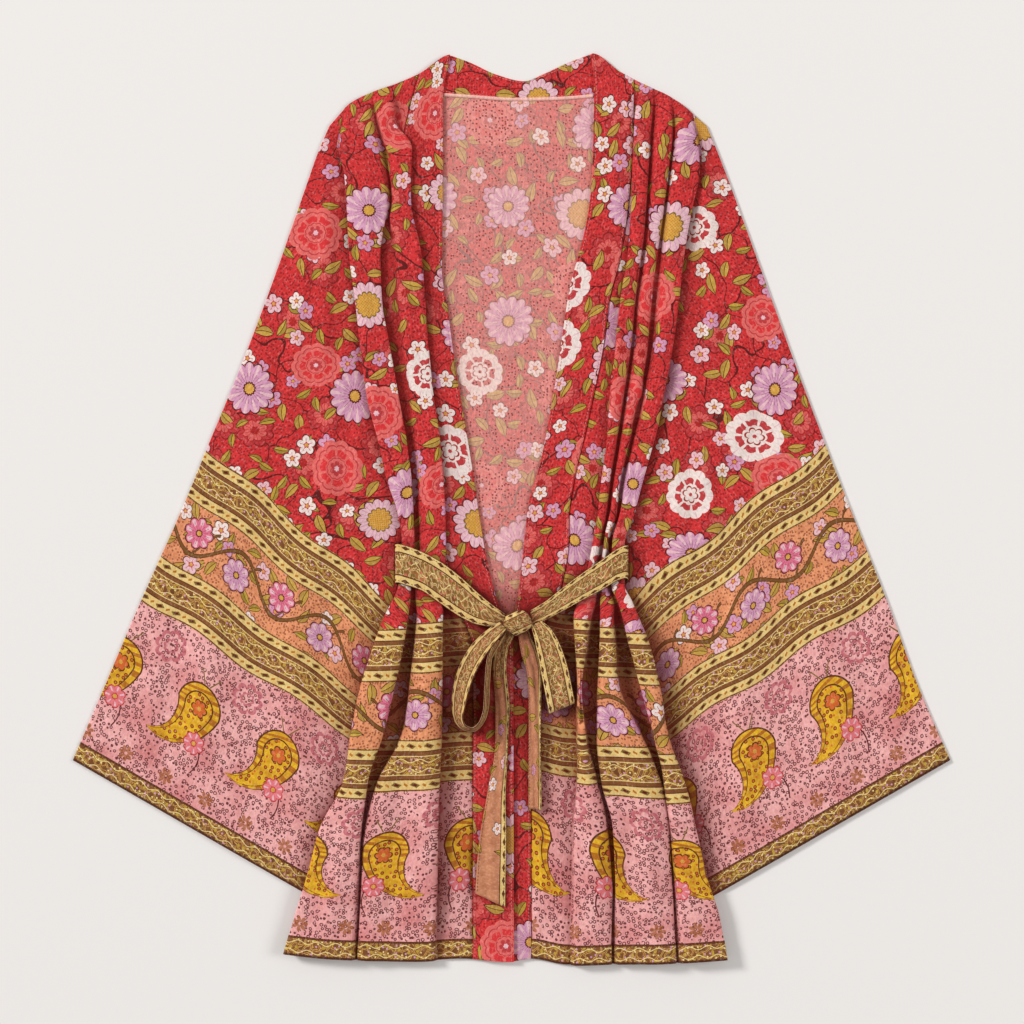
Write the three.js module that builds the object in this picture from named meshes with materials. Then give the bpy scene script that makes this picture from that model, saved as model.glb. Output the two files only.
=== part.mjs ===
// Kimono robe with a tie belt, laid flat on its back. Millimetres, Z up, +Y toward the neck.
// Left and right are as seen from above with the neck at the top.
import * as THREE from "three";

// Wall of the single cloth, of the doubled bands and of the doubled belt
const WALL = 1.3;
const BAND_WALL = 2.4;
const BELT_WALL = 1.6;
// Air between two layers that lie on each other, and between two pieces at a seam
const LAYER_GAP = 0.4;
const SEAM_GAP = 0.3;
const LAYER = WALL + LAYER_GAP;
// Middle of the lowest layer
const FLOOR_MID = WALL / 2;

// Hem line, and half of the widest span from cuff to cuff
const HEM_Y = -448;
const CUFF_CORNER_X = 438;

// Rows bend to the shoulder line above the first level and to the hem's wave below the second
const SHOULDER_BEND_Y = 210;
const HEM_BEND_Y = -316;

// The stretch of the waist that the belt covers at the back, and the slope beside it
const BELT_TOP_Y = -36;
const BELT_BOTTOM_Y = -76;
const BELT_SLOPE_NEAR = 2;
const BELT_SLOPE_FAR = 14;

// How far the side and armhole seams are tucked in behind the side crest
const SEAM_TUCK = 3;
const SIDE_TUCK = 7;
// Room that neighbouring pleats keep from each other
const PLEAT_ROOM = 2;
// Least and usual depth of a long fold behind its crest, and how far a fold passes the band's seam
const LEAST_TUCK = 3;
const USUAL_TUCK = 7;
// Outward shift of the side crest where the side pleat lies open
const OPEN_SIDE_SHIFT = 4;
// Step down of an open pleat: offset from its crest and share of its height
const OPEN_STEP = [
  [-2.4, 1], [-1.2, 0.85], [0, 0.62], [1.2, 0.38], [2.4, 0.15], [3.6, 0],
];
// Longest stretch of a wall's normal at a corner
const CORNER_STRETCH = 1.35;

// Left front, x measured outward from the middle line. Rows run from shoulder to hem.
// side: outer crest; outer, inner: crests of the two long folds; seam: where the band is sewn on.
// fold: how far the pleats are folded over (0 open, 1 closed); rise: their height; dip: valley width.
const LEFT_FRONT = rowsOf([
  "y", "side", "outer", "inner", "seam", "sideFold",
  "outerFold", "innerFold", "rise", "dip",
], [
  [385, 167, 145, 121, 92, 0, 0, 0, 1.0, 5],
  [353, 175, 138, 117, 103, 0.3, 0, 0.1, 5.2, 5],
  [325, 167, 130, 99.5, 110, 1, 0, 1, 5.4, 6],
  [290, 164, 124, 101, 110, 1, 0.1, 1, 5.4, 8],
  [249, 161.5, 131, 92.5, 110, 1, 1, 1, 5.6, 14],
  [210, 156, 129.5, 87.5, 108.5, 1, 1, 1, 5.8, 14],
  [164, 151, 122, 83, 99, 1, 1, 1, 5.8, 12],
  [114, 144, 113, 78, 93, 1, 1, 1, 5.8, 10],
  [69, 133, 105, 71.5, 86, 1, 1, 1, 5.8, 7],
  [29, 124, 100, 68, 79.5, 1, 1, 1, 5.8, 6],
  [-6, 112.5, 98, 66, 74, 1, 1, 1, 5.6, 5],
  [-34, 109, 97, 65.5, 70, 1, 1, 1, 5.4, 5],
  [-76, 112.5, 100, 67, 62, 1, 1, 1, 5.4, 3],
  [-92, 119, 101, 68, 57, 1, 1, 1, 6.2, 3],
  [-108, 127, 103, 68.5, 49, 1, 1, 1, 9, 3],
  [-139, 138, 108, 69, 38.5, 1, 1, 1, 12, 4],
  [-180, 151, 117, 70, 38.5, 1, 1, 1, 12, 6],
  [-226, 160, 128, 71, 38.5, 1, 0.9, 1, 11, 8],
  [-271, 167, 143, 73.5, 38.5, 1, 0.5, 0.9, 9, 8],
  [-316, 190, 150, 75.5, 38.5, 1, 0.25, 0.6, 7.5, 8],
  [-361, 202, 153, 77, 38.5, 1, 0.1, 0.35, 6.5, 8],
  [-406, 215, 156, 77, 38.5, 1, 0, 0.1, 5.6, 8],
  [-448, 226.5, 158, 77, 38.5, 1, 0, 0, 5.3, 8],
]);

// Right front, the same columns, with one more long fold (middle) that opens below the belt
const RIGHT_FRONT = rowsOf([
  "y", "side", "outer", "middle", "inner", "seam",
  "sideFold", "outerFold", "middleFold", "innerFold", "rise", "dip",
], [
  [385, 180, 165, 148, 131, 122, 0, 0, 0, 0, 1.0, 5],
  [353, 190, 166, 145, 123, 122, 0.3, 0, 0, 0.6, 5.2, 5],
  [325, 186.5, 163, 142, 121.5, 121, 1, 0, 0, 1, 5.4, 5],
  [290, 179, 158, 139, 120, 117.5, 1, 0, 0, 1, 5.4, 5],
  [249, 171.5, 152, 135, 116.5, 109.5, 1, 0, 0, 1, 5.6, 5],
  [210, 167, 147, 129, 109, 98, 1, 0, 0, 1, 5.8, 5],
  [164, 161, 143, 125, 105.5, 92, 1, 0, 0, 1, 5.8, 5],
  [114, 151, 134, 117, 99.5, 82, 1, 0, 0.1, 1, 5.8, 5],
  [69, 142, 124, 109.5, 95.5, 72, 1, 0, 0.2, 1, 5.8, 5],
  [29, 131, 114, 103, 90, 62.5, 1, 0.1, 0.3, 1, 5.8, 4],
  [-6, 122, 107.5, 97.5, 86, 57.5, 1, 0.5, 0.6, 1, 5.6, 3],
  [-34, 112.8, 100.5, 92, 81, 57, 1, 1, 1, 1, 5.4, 2],
  [-76, 112.5, 99.5, 88.5, 72, 50, 1, 1, 1, 1, 5.4, 2],
  [-92, 120, 106, 88.5, 66, 46, 1, 1, 1, 1, 6.2, 2],
  [-108, 126.5, 110.5, 88.5, 62, 37, 1, 1, 1, 1, 9, 3],
  [-139, 138.5, 118, 88.5, 64, 19.5, 1, 1, 1, 0.9, 12, 5],
  [-180, 148, 129, 88.5, 67, 19.5, 1, 1, 1, 0.6, 12, 8],
  [-226, 156, 141, 88.5, 67, 19.5, 1, 0.7, 1, 0.4, 11, 6],
  [-271, 172, 152, 92, 66, 19.5, 1, 0.3, 0.8, 0.3, 9, 5],
  [-316, 183, 160, 101, 62, 19.5, 1, 0.1, 0.6, 0.2, 7.5, 5],
  [-361, 193, 164, 103, 62, 19.5, 1, 0, 0.35, 0.1, 6.5, 5],
  [-406, 207, 167, 104, 62, 19.5, 1, 0, 0.1, 0, 5.6, 5],
  [-448, 214.5, 169, 105, 62, 19.5, 1, 0, 0, 0, 5.3, 5],
]);

// Free edge of each front band, x from the middle line (signed), with the belt's crossing at -100
const LEFT_EDGE = rowsOf(["y", "x"], [
  [452, -61], [409, -68.5], [329, -68.5], [240, -69.5], [195, -63], [141, -56], [109, -50.5],
  [49, -40.5], [-11, -31.5], [-51, -24.5], [-91, -14.5], [-131, 1.5], [-448, 2.5],
]);
const RIGHT_EDGE = rowsOf(["y", "x"], [
  [454, 80], [416, 82.5], [346, 81], [314, 79], [282, 74], [217, 57.5], [143, 46.5], [45, 28.5],
  [7, 17.5], [-71, 8.5], [-101, 3.5], [-145, -22.5], [-448, -22.5],
]);

// Top line of the shoulders, seen from above
const SHOULDER_LINE = rowsOf(["x", "y"], [
  [-176, 384], [-166, 401], [-142, 415], [-116, 424.5], [-92, 435], [-60, 454], [81, 455],
  [108, 437], [133, 424], [158, 412], [183, 393], [190, 384],
]);
// Seam between the back panel and the neck band, and the free upper edge of the neck band
const NECK_SEAM = rowsOf(["x", "y"], [
  [-66, 414], [-38, 412], [2, 409.5], [38, 410], [84, 413],
]);
const NECK_EDGE = rowsOf(["x", "y"], [
  [-60, 453], [-41, 446], [-16, 434.5], [13, 427.5], [33, 435], [58, 446.5], [81, 455],
]);

// Outer fold of each sleeve, x outward from the middle line
const LEFT_OUTER_FOLD = rowsOf(["y", "x"], [
  [384, 181], [360, 191.5], [309, 209.5], [229, 237.5], [149, 267.5], [69, 300.5], [-11, 333.5],
  [-91, 369.5], [-171, 403.5], [-250, CUFF_CORNER_X],
]);
const RIGHT_OUTER_FOLD = rowsOf(["y", "x"], [
  [384, 194], [349, 208.5], [309, 223.5], [229, 252.5], [149, 281.5], [69, 311.5], [-11, 342.5],
  [-91, 374.5], [-171, 403.5], [-251, CUFF_CORNER_X],
]);
// Cross lines of the sleeve from the shoulder to the cuff: where each meets the inner seam and the
// outer fold, and how high the front layer swells there
const SLEEVE_LINES = rowsOf(["seamY", "foldY", "swell"], [
  [385, 383, 0],
  [353, 358, 0.2],
  [325, 330, 0.6],
  [290, 303, 1.0],
  [249, 275, 1.4],
  [210, 250, 1.8],
  [164, 222, 2.2],
  [114, 192, 2.4],
  [69, 165, 2.4],
  [29, 140, 2.4],
  [-6, 118, 2.2],
  [-28, 102, 2.0],
  [-33.5, 98, 2.0],
  [-97, 61, 2.2],
  [-158, 0, 2.4],
  [-250, -94, 2.2],
  [-335, -178, 1.8],
  [-413, -251, 1.0],
]);

// Inner edge of the sleeve where it lies under the skirt, outward from the middle line
const SLEEVE_UNDER_SKIRT = rowsOf(["y", "x"], [
  [-33.5, 117.5], [-80, 118], [-226, 133], [-413, 155.5],
]);
const SKIRT_LIFT_TOP_Y = -60;
const SKIRT_LIFT_FULL_Y = -84;
const SKIRT_RAMP = 16;
// The front panels start to rise a little nearer the middle than the back panel does
const FRONT_LEAD = 12;

// Bottom edge of the skirt, a soft wave about the hem line
const HEM_WAVE = rowsOf(["x", "y"], [
  [-228, -443], [-180, -448], [-93, -451], [-50, -449], [-2, -452], [20, -449], [56, -455],
  [100, -454], [150, -453], [216, -449],
]);

// Belt on the front. x outward, top and bottom edge, height of its middle above the floor
const LEFT_BELT = rowsOf(["x", "top", "bottom", "z"], [
  [108, -36, -76, 0.8],
  [114, -36, -75, 1.6],
  [115.4, -35.5, -74.5, 4.5],
  [115.4, -35, -74, 9],
  [113, -34.5, -73.5, 12],
  [106, -36, -75.5, 12.8],
  [90, -42, -81, 12.4],
  [71, -52, -94, 12.4],
  [50, -67, -108, 12.0],
  [36, -78, -115, 11.8],
  [18, -87, -119, 12.0],
  [6.3, -94, -117, 12.6],
]);
const RIGHT_BELT = rowsOf(["x", "top", "bottom", "z"], [
  [108, -36, -76, 0.8],
  [114, -36, -75, 1.6],
  [115.6, -36, -73, 4.5],
  [115.8, -36, -71, 9],
  [113, -36, -69, 12],
  [106, -39, -71, 12.8],
  [89, -51, -81, 12.4],
  [70, -64, -91, 12.4],
  [50, -79, -102, 12.2],
  [34, -92, -110, 12.2],
  [19.2, -101, -116, 12.8],
]);

// Knot of the bow
const KNOT_CENTRE = { x: 6, y: -113, z: 15.5 };
const KNOT_HALF = { x: 14, y: 13, z: 7 };

// Bow loops, one row for each station along the ribbon: middle line, width and lean from flat (degrees)
const LEFT_LOOP = rowsOf(["x", "y", "z", "width", "lean"], [
  [-8.4, -116, 17.5, 10, 20],
  [-21, -127, 21, 18, 40],
  [-36, -145, 20, 24, 46],
  [-47, -168, 19, 25, 50],
  [-52, -190, 19, 25, 56],
  [-53, -205, 19.5, 24, 66],
  [-48, -216, 19.8, 24, 76],
  [-39, -219, 19.8, 24, 80],
  [-30, -212, 19.8, 24, 82],
  [-25, -196, 19.8, 24, 82],
  [-24, -174, 19.8, 22, 82],
  [-22, -150, 19.5, 18, 80],
  [-13, -130, 19, 10, 50],
]);
const RIGHT_LOOP = rowsOf(["x", "y", "z", "width"], [
  [24.6, -113.5, 15, 12],
  [31, -123, 17, 19],
  [38, -142, 18, 25],
  [44, -166, 18, 28],
  [48, -186, 17, 28],
  [50, -196, 14.5, 28],
  [50, -198, 12, 28],
  [48.5, -190, 9.6, 27],
  [45, -168, 9.2, 24],
  [38, -144, 9.8, 15],
  [31, -128, 12.2, 10],
]);
// Hanging ends of the belt: middle line, height, width, and how much the end is cut on the slant
const LEFT_TAIL = rowsOf(["x", "y", "z", "width", "slant"], [
  [-0.5, -120, 8.9, 11, 0],
  [-4, -128, 10, 12, 0],
  [-10, -140, 10, 13, 0],
  [-12, -160, 9, 13, 0],
  [-9, -200, 8.6, 14, 0],
  [-10, -240, 8.6, 13, 0],
  [-15, -285, 8.6, 18, 2],
  [-18, -325, 8.6, 26, 5],
  [-20, -360, 8.6, 29, 9],
  [-21, -390, 8.6, 30, 14],
]);
const RIGHT_TAIL = rowsOf(["x", "y", "z", "width", "slant"], [
  [12, -120, 8.9, 11, 0],
  [14, -129, 10, 13, 0],
  [19, -146, 10, 17, 0],
  [23, -165, 9.4, 14, 0],
  [23.5, -200, 9, 12, 0],
  [23.5, -250, 8.8, 12, 0],
  [23.5, -299, 8.6, 12.5, 2],
]);

const KNOT_RINGS = 9;
const KNOT_SIDES = 16;

// Rows with named columns
function rowsOf(names, rows) {
  return rows.map((row) => Object.fromEntries(names.map((name, i) => [name, row[i]])));
}

const mix = (a, b, k) => a + (b - a) * k;
const clamp01 = (k) => Math.min(1, Math.max(0, k));

function smooth(from, to, value) {
  const k = clamp01((value - from) / (to - from));
  return k * k * (3 - 2 * k);
}

// Value of one column of a table at a key, straight between rows
function lookUp(table, key, at, column) {
  const down = table[0][key] > table[table.length - 1][key];
  for (let i = 1; i < table.length; i += 1) {
    const a = table[i - 1];
    const b = table[i];
    const reached = down ? at >= b[key] : at <= b[key];
    if (reached || i === table.length - 1) {
      return mix(a[column], b[column], clamp01((at - a[key]) / (b[key] - a[key])));
    }
  }
  return table[0][column];
}

// Middle of the back panel above the floor: it rides over the belt and over the sleeves' inner parts
function backMid(x, y, lead = 0) {
  const above = smooth(BELT_TOP_Y + BELT_SLOPE_FAR, BELT_TOP_Y + BELT_SLOPE_NEAR, y);
  const below = smooth(BELT_BOTTOM_Y - BELT_SLOPE_FAR, BELT_BOTTOM_Y - BELT_SLOPE_NEAR, y);
  const nearBelt = above * below;
  const overBelt = nearBelt * (BELT_WALL + LAYER_GAP);
  const edge = lookUp(SLEEVE_UNDER_SKIRT, "y", y, "x");
  const inward = edge - Math.abs(x) - lead;
  const underIt = clamp01((SKIRT_RAMP - inward) / (SKIRT_RAMP - 2));
  const overSleeve = underIt * smooth(SKIRT_LIFT_TOP_Y, SKIRT_LIFT_FULL_Y, y) * 2 * LAYER;
  return FLOOR_MID + Math.max(overBelt, overSleeve);
}

const frontBase = (x, y) => backMid(x, y, FRONT_LEAD) + LAYER;

// One pleat that faces inward, as six points of a section: offsets from its crest and heights
function inwardPleat(crest, high, tuck, fold) {
  const r = high / 4;
  const closed = [
    [-r, high], [0, high - r], [-r, high - 2 * r],
    [-tuck + r, 2 * r], [-tuck, r], [-tuck + r, 0],
  ];
  return closed.map(([dx, z], i) => [
    crest + mix(OPEN_STEP[i][0], dx, fold),
    mix(OPEN_STEP[i][1] * high, z, fold),
  ]);
}

// Distance of the side seam inward from the side crest
const seamInset = (fold) => mix(-1, SEAM_TUCK, fold);

// The side pleat faces outward; its lower layer ends at the seam
function sidePleat(side, high, fold) {
  const pleat = inwardPleat(0, high, SIDE_TUCK, fold);
  const shift = mix(OPEN_SIDE_SHIFT, 0, fold);
  const points = pleat.reverse().map(([dx, z]) => [side - dx + shift, z]);
  return [[side + seamInset(fold), 0], ...points];
}

// A front's section at height y in its own outward-left frame: x grows toward the middle line
function frontSection(table, y) {
  const get = (column) => lookUp(table, "y", y, column);
  const names = table[0].middle === undefined ? ["outer", "inner"] : ["outer", "middle", "inner"];
  const high = get("rise");
  const points = sidePleat(-get("side"), high, get("sideFold"));
  let from = points[points.length - 1][0];
  let reach = points.reduce((most, point) => Math.max(most, point[0]), -Infinity);
  names.forEach((name, i) => {
    const crest = -get(name);
    const fold = get(`${name}Fold`);
    const last = i === names.length - 1;
    const tableSeam = -get("seam");
    const pastSeam = Math.max(USUAL_TUCK, crest - tableSeam + USUAL_TUCK);
    const wanted = last ? pastSeam : Math.min(USUAL_TUCK, high * 0.9);
    const tuck = Math.max(LEAST_TUCK, Math.min(wanted, crest - reach - PLEAT_ROOM));
    const pleat = inwardPleat(crest, high, tuck, fold);
    points.push([mix(from, pleat[0][0], 0.35), high], [mix(from, pleat[0][0], 0.7), high]);
    points.push(...pleat);
    if (last) {
      const seam = Math.max(tableSeam, pleat[5][0] + 2);
      points.push([mix(pleat[5][0], seam, 0.5), 0], [seam - SEAM_GAP, 0]);
    } else {
      const end = Math.max(crest + get("dip") * fold, pleat[5][0] + 1.5);
      const climb = mix(1.5, 3.5, fold);
      points.push([end, 0.02 * high], [end + climb, 0.75 * high]);
      from = end + climb;
      reach = from;
    }
  });
  return points;
}

// Normals of a section line, longer at corners so the wall keeps its thickness
function sectionNormals(line) {
  return line.map((p, i) => {
    const a = line[Math.max(0, i - 1)];
    const b = line[Math.min(line.length - 1, i + 1)];
    const before = new THREE.Vector2(p[0] - a[0], p[1] - a[1]);
    const after = new THREE.Vector2(b[0] - p[0], b[1] - p[1]);
    if (i === 0) before.copy(after);
    if (i === line.length - 1) after.copy(before);
    before.normalize();
    after.normalize();
    const along = before.clone().add(after).normalize();
    const stretch = Math.min(CORNER_STRETCH, 1 / Math.max(0.3, along.dot(after)));
    return [-along.y * stretch, along.x * stretch];
  });
}

// Closed slab between two grids of points with the same rows and columns
function slab(upper, lower) {
  const rows = upper.length;
  const columns = upper[0].length;
  const count = rows * columns;
  const positions = [];
  for (const grid of [upper, lower]) {
    for (const row of grid) {
      for (const p of row) positions.push(p[0], p[1], p[2]);
    }
  }
  const index = [];
  const quad = (a, b, c, d) => index.push(a, b, c, a, c, d);
  for (let r = 0; r < rows - 1; r += 1) {
    for (let c = 0; c < columns - 1; c += 1) {
      const a = r * columns + c;
      quad(a, a + columns, a + columns + 1, a + 1);
      quad(count + a, count + a + 1, count + a + columns + 1, count + a + columns);
    }
  }
  for (let c = 0; c < columns - 1; c += 1) {
    const end = (rows - 1) * columns + c;
    quad(c, c + 1, count + c + 1, count + c);
    quad(end + 1, end, count + end, count + end + 1);
  }
  for (let r = 0; r < rows - 1; r += 1) {
    const a = r * columns;
    const b = a + columns - 1;
    quad(a + columns, a, count + a, count + a + columns);
    quad(b, b + columns, count + b + columns, count + b);
  }
  const geometry = new THREE.BufferGeometry();
  geometry.setAttribute("position", new THREE.Float32BufferAttribute(positions, 3));
  geometry.setIndex(index);
  if (signedVolume(geometry) < 0) flip(geometry);
  geometry.computeVertexNormals();
  return geometry;
}

function signedVolume(geometry) {
  const position = geometry.attributes.position;
  const index = geometry.index;
  const corner = [new THREE.Vector3(), new THREE.Vector3(), new THREE.Vector3()];
  let volume = 0;
  for (let i = 0; i < index.count; i += 3) {
    corner.forEach((v, k) => v.fromBufferAttribute(position, index.getX(i + k)));
    volume += corner[0].dot(corner[1].clone().cross(corner[2])) / 6;
  }
  return volume;
}

function flip(geometry) {
  const array = geometry.index.array;
  for (let i = 0; i < array.length; i += 3) {
    const keep = array[i];
    array[i] = array[i + 1];
    array[i + 1] = keep;
  }
}

// Slab from section lines that lie in upright planes; place turns (along, up) into a point
function slabFromSections(sections, wall, place) {
  const upper = [];
  const lower = [];
  sections.forEach((line, row) => {
    const normals = sectionNormals(line);
    const moved = (p, i, far) => place(row, p[0] + normals[i][0] * far, p[1] + normals[i][1] * far);
    upper.push(line.map((p, i) => moved(p, i, wall / 2)));
    lower.push(line.map((p, i) => moved(p, i, -wall / 2)));
  });
  return slab(upper, lower);
}

// Where a row of a panel really runs: rows follow the shoulder at the top and the hem at the bottom
function bend(x, y, topY) {
  const shoulder = lookUp(SHOULDER_LINE, "x", x, "y");
  const hem = lookUp(HEM_WAVE, "x", x, "y");
  const nearTop = smooth(SHOULDER_BEND_Y, topY, y);
  const nearHem = smooth(HEM_BEND_Y, HEM_Y, y);
  return y + (shoulder - topY) * nearTop + (hem - HEM_Y) * nearHem;
}

function frontPanel(table, sign) {
  const lines = table.map((row) => frontSection(table, row.y));
  const topY = table[0].y;
  const rows = table.map((row) => row.y);
  const world = lines.map((line, r) => line.map(([along, up]) => {
    const x = sign * -along;
    const y = bend(x, rows[r], topY);
    return [along, up + frontBase(x, y)];
  }));
  return slabFromSections(world, WALL, (row, along, up) => {
    const x = sign * -along;
    return [x, bend(x, rows[row], topY), up];
  });
}

// Columns of the back panel in one row: they follow the sleeve edge under the skirt
function backColumns(r) {
  const y = LEFT_FRONT[r].y;
  const edge = lookUp(SLEEVE_UNDER_SKIRT, "y", y, "x");
  const half = (row) => row.side - seamInset(row.sideFold);
  const inner = [0.88, 0.69, 0.36, 0];
  const side = (row, sign) => {
    const wide = half(row);
    const full = Math.min(edge - 2, wide - 4);
    const foot = Math.min(edge - SKIRT_RAMP, full - 6);
    const outward = [wide, mix(wide, full, 0.5), full, mix(full, foot, 0.5), foot];
    return [...outward, ...inner.map((k) => foot * k)].map((x) => sign * x);
  };
  const right = side(RIGHT_FRONT[r], 1).reverse();
  return [...side(LEFT_FRONT[r], -1), ...right.slice(1)];
}

function backPanel() {
  const topY = LEFT_FRONT[0].y;
  const neckLeft = NECK_SEAM[0].x;
  const neckRight = NECK_SEAM[NECK_SEAM.length - 1].x;
  const rowY = (x, r) => {
    const y = LEFT_FRONT[r].y;
    const inNeck = smooth(neckLeft - 20, neckLeft - 4, x) * smooth(neckRight + 20, neckRight + 5, x);
    const drop = lookUp(SHOULDER_LINE, "x", x, "y") - lookUp(NECK_SEAM, "x", x, "y") + SEAM_GAP;
    return bend(x, y, topY) - inNeck * drop * smooth(SHOULDER_BEND_Y, topY, y);
  };
  const grid = (side) => LEFT_FRONT.map((row, r) => backColumns(r).map((x) => {
    const y = rowY(x, r);
    return [x, y, backMid(x, y) + (side * WALL) / 2];
  }));
  return slab(grid(1), grid(-1));
}

// Columns of a front band in one row, from the seam to the free edge, with the height each one gains.
// The left band climbs on to the right one below the belt.
function bandColumns(y, seam, free, over) {
  if (!over) return [0, 0.15, 0.4, 0.7, 1].map((k) => [mix(seam, free, k), 0]);
  const under = lookUp(RIGHT_EDGE, "y", y, "x");
  const lap = smooth(-72, -92, y) * (BAND_WALL + LAYER_GAP);
  const foot = Math.min(under - 12, free - 4);
  const top = Math.min(under - 1.5, free - 2);
  return [[seam, 0], [foot, 0], [top, lap], [mix(top, free, 0.5), lap], [free, lap]];
}

// Front band, folded double, sewn to the front panel and free at its inner edge
function frontBand(table, edge, sign, over) {
  const topY = table[0].y;
  const grid = (side) => table.map((row, r) => {
    const { y } = row;
    const edgeY = r === 0 ? edge[0].y : bend(lookUp(edge, "y", y, "x"), y, topY);
    const free = lookUp(edge, "y", edgeY, "x");
    const section = frontSection(table, y);
    const seam = sign * -(section[section.length - 1][0] + SEAM_GAP);
    return bandColumns(y, seam, free, over).map(([x, lap]) => {
      const realY = bend(x, y, topY);
      const flat = frontBase(x, realY) - WALL / 2 + BAND_WALL / 2;
      return [x, realY, flat + lap + (side * BAND_WALL) / 2];
    });
  });
  return slab(grid(1), grid(-1));
}

function neckBand() {
  const columns = 14;
  const fractions = [0, 0.5, 1];
  const left = LEFT_EDGE[0].x + 1;
  const right = RIGHT_EDGE[0].x - 1;
  const grid = (side) => fractions.map((k) => {
    const row = [];
    for (let c = 0; c <= columns; c += 1) {
      const t = c / columns;
      const lowX = mix(LEFT_EDGE[1].x + 1.5, RIGHT_EDGE[1].x - 1.5, t);
      const highX = mix(left, right, t);
      const x = mix(lowX, highX, k);
      const seamY = lookUp(NECK_SEAM, "x", lowX, "y");
      const edgeY = lookUp(NECK_EDGE, "x", highX, "y");
      row.push([x, mix(seamY, edgeY, k), BAND_WALL / 2 + (side * BAND_WALL) / 2]);
    }
    return row;
  });
  return slab(grid(1), grid(-1));
}

// One cross line of a sleeve: its ends at the inner seam and at the outer fold
function sleeveLine(panel, outerFold, line, sign) {
  const waist = SLEEVE_UNDER_SKIRT[0].y;
  let inX = lookUp(SLEEVE_UNDER_SKIRT, "y", line.seamY, "x");
  let inY = line.seamY;
  if (line.seamY > waist) {
    const fold = lookUp(panel, "y", line.seamY, "sideFold");
    inX = lookUp(panel, "y", line.seamY, "side") - seamInset(fold) + SEAM_GAP;
    inY = bend(sign * inX, line.seamY, panel[0].y);
  }
  const outX = lookUp(outerFold, "y", line.foldY, "x");
  const length = Math.hypot(outX - inX, line.foldY - inY);
  return { inX: sign * inX, inY, outX: sign * outX, outY: line.foldY, length };
}

// Sleeve: back layer on the floor, turned over at the outer fold, front layer with a soft wave
function sleeve(panel, outerFold, sign, phase) {
  const lines = SLEEVE_LINES.map((line) => sleeveLine(panel, outerFold, line, sign));
  const upZ = FLOOR_MID + LAYER;
  const turn = 0.9;
  const sections = lines.map(({ length }, r) => {
    const under = [0, 0.06, 0.5].map((k) => [length * k, FLOOR_MID]);
    const over = [0, 0.06, 0.2, 0.36, 0.52, 0.68, 0.84].map((k) => {
      const middle = Math.sin(Math.PI * clamp01((k - 0.06) / 0.9));
      const wave = 0.55 + 0.45 * Math.sin(9 * k + 1.3 * r + phase);
      return [length * k, upZ + SLEEVE_LINES[r].swell * middle * wave];
    });
    const fold = [
      [length - turn * 2, FLOOR_MID], [length - turn * 0.5, FLOOR_MID + 0.25],
      [length, (FLOOR_MID + upZ) / 2],
      [length - turn * 0.5, upZ - 0.25], [length - turn * 2, upZ],
    ];
    return [...under, ...fold, ...over.reverse()];
  });
  return slabFromSections(sections, WALL, (r, along, up) => {
    const { inX, inY, outX, outY, length } = lines[r];
    const k = along / length;
    return [mix(inX, outX, k), mix(inY, outY, k), up];
  });
}

// Belt stretch on one side of the front, from the side turn to the knot
function frontBelt(table, sign) {
  const line = table.map((row) => [row.x, row.z]);
  const normals = sectionNormals(line);
  const fractions = [0, 0.12, 0.5, 0.88, 1];
  const grid = (side) => table.map((row, i) => fractions.map((k) => {
    const crown = (1 - (2 * k - 1) ** 2) * 0.4 * smooth(10, 12, row.z);
    const x = line[i][0] + (normals[i][0] * side * BELT_WALL) / 2;
    const z = line[i][1] + (normals[i][1] * side * BELT_WALL) / 2 + crown;
    return [sign * x, mix(row.top, row.bottom, k), z];
  }));
  return slab(grid(1), grid(-1));
}

function backBelt() {
  const half = LEFT_BELT[0].x - SEAM_GAP;
  const steps = [-1, -0.5, 0, 0.5, 1];
  const grid = (z) => [BELT_TOP_Y, BELT_BOTTOM_Y].map((y) => steps.map((k) => [k * half, y, z]));
  return slab(grid(BELT_WALL), grid(0));
}

// Closed rounded body of the knot, with two shallow wraps across it
function knotBody() {
  const sphere = new THREE.SphereGeometry(1, KNOT_SIDES, KNOT_RINGS);
  const position = sphere.attributes.position;
  for (let i = 0; i < position.count; i += 1) {
    const x = position.getX(i);
    const y = position.getY(i);
    const z = position.getZ(i);
    const wrap = 1 - 0.1 * Math.cos(6 * x + 2 * z) ** 4;
    position.setXYZ(
      i,
      KNOT_CENTRE.x + KNOT_HALF.x * x * wrap,
      KNOT_CENTRE.y + KNOT_HALF.y * y * wrap,
      KNOT_CENTRE.z + KNOT_HALF.z * z * wrap,
    );
  }
  return weld(sphere);
}

function weld(geometry) {
  const position = geometry.attributes.position;
  const seen = new Map();
  const points = [];
  const remap = [];
  for (let i = 0; i < position.count; i += 1) {
    const point = [position.getX(i), position.getY(i), position.getZ(i)];
    const key = point.map((v) => v.toFixed(3)).join();
    if (!seen.has(key)) {
      seen.set(key, points.length / 3);
      points.push(...point);
    }
    remap.push(seen.get(key));
  }
  const index = [];
  for (let i = 0; i < geometry.index.count; i += 3) {
    const face = [0, 1, 2].map((k) => remap[geometry.index.getX(i + k)]);
    if (new Set(face).size === 3) index.push(...face);
  }
  const out = new THREE.BufferGeometry();
  out.setAttribute("position", new THREE.Float32BufferAttribute(points, 3));
  out.setIndex(index);
  out.computeVertexNormals();
  return out;
}

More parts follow.
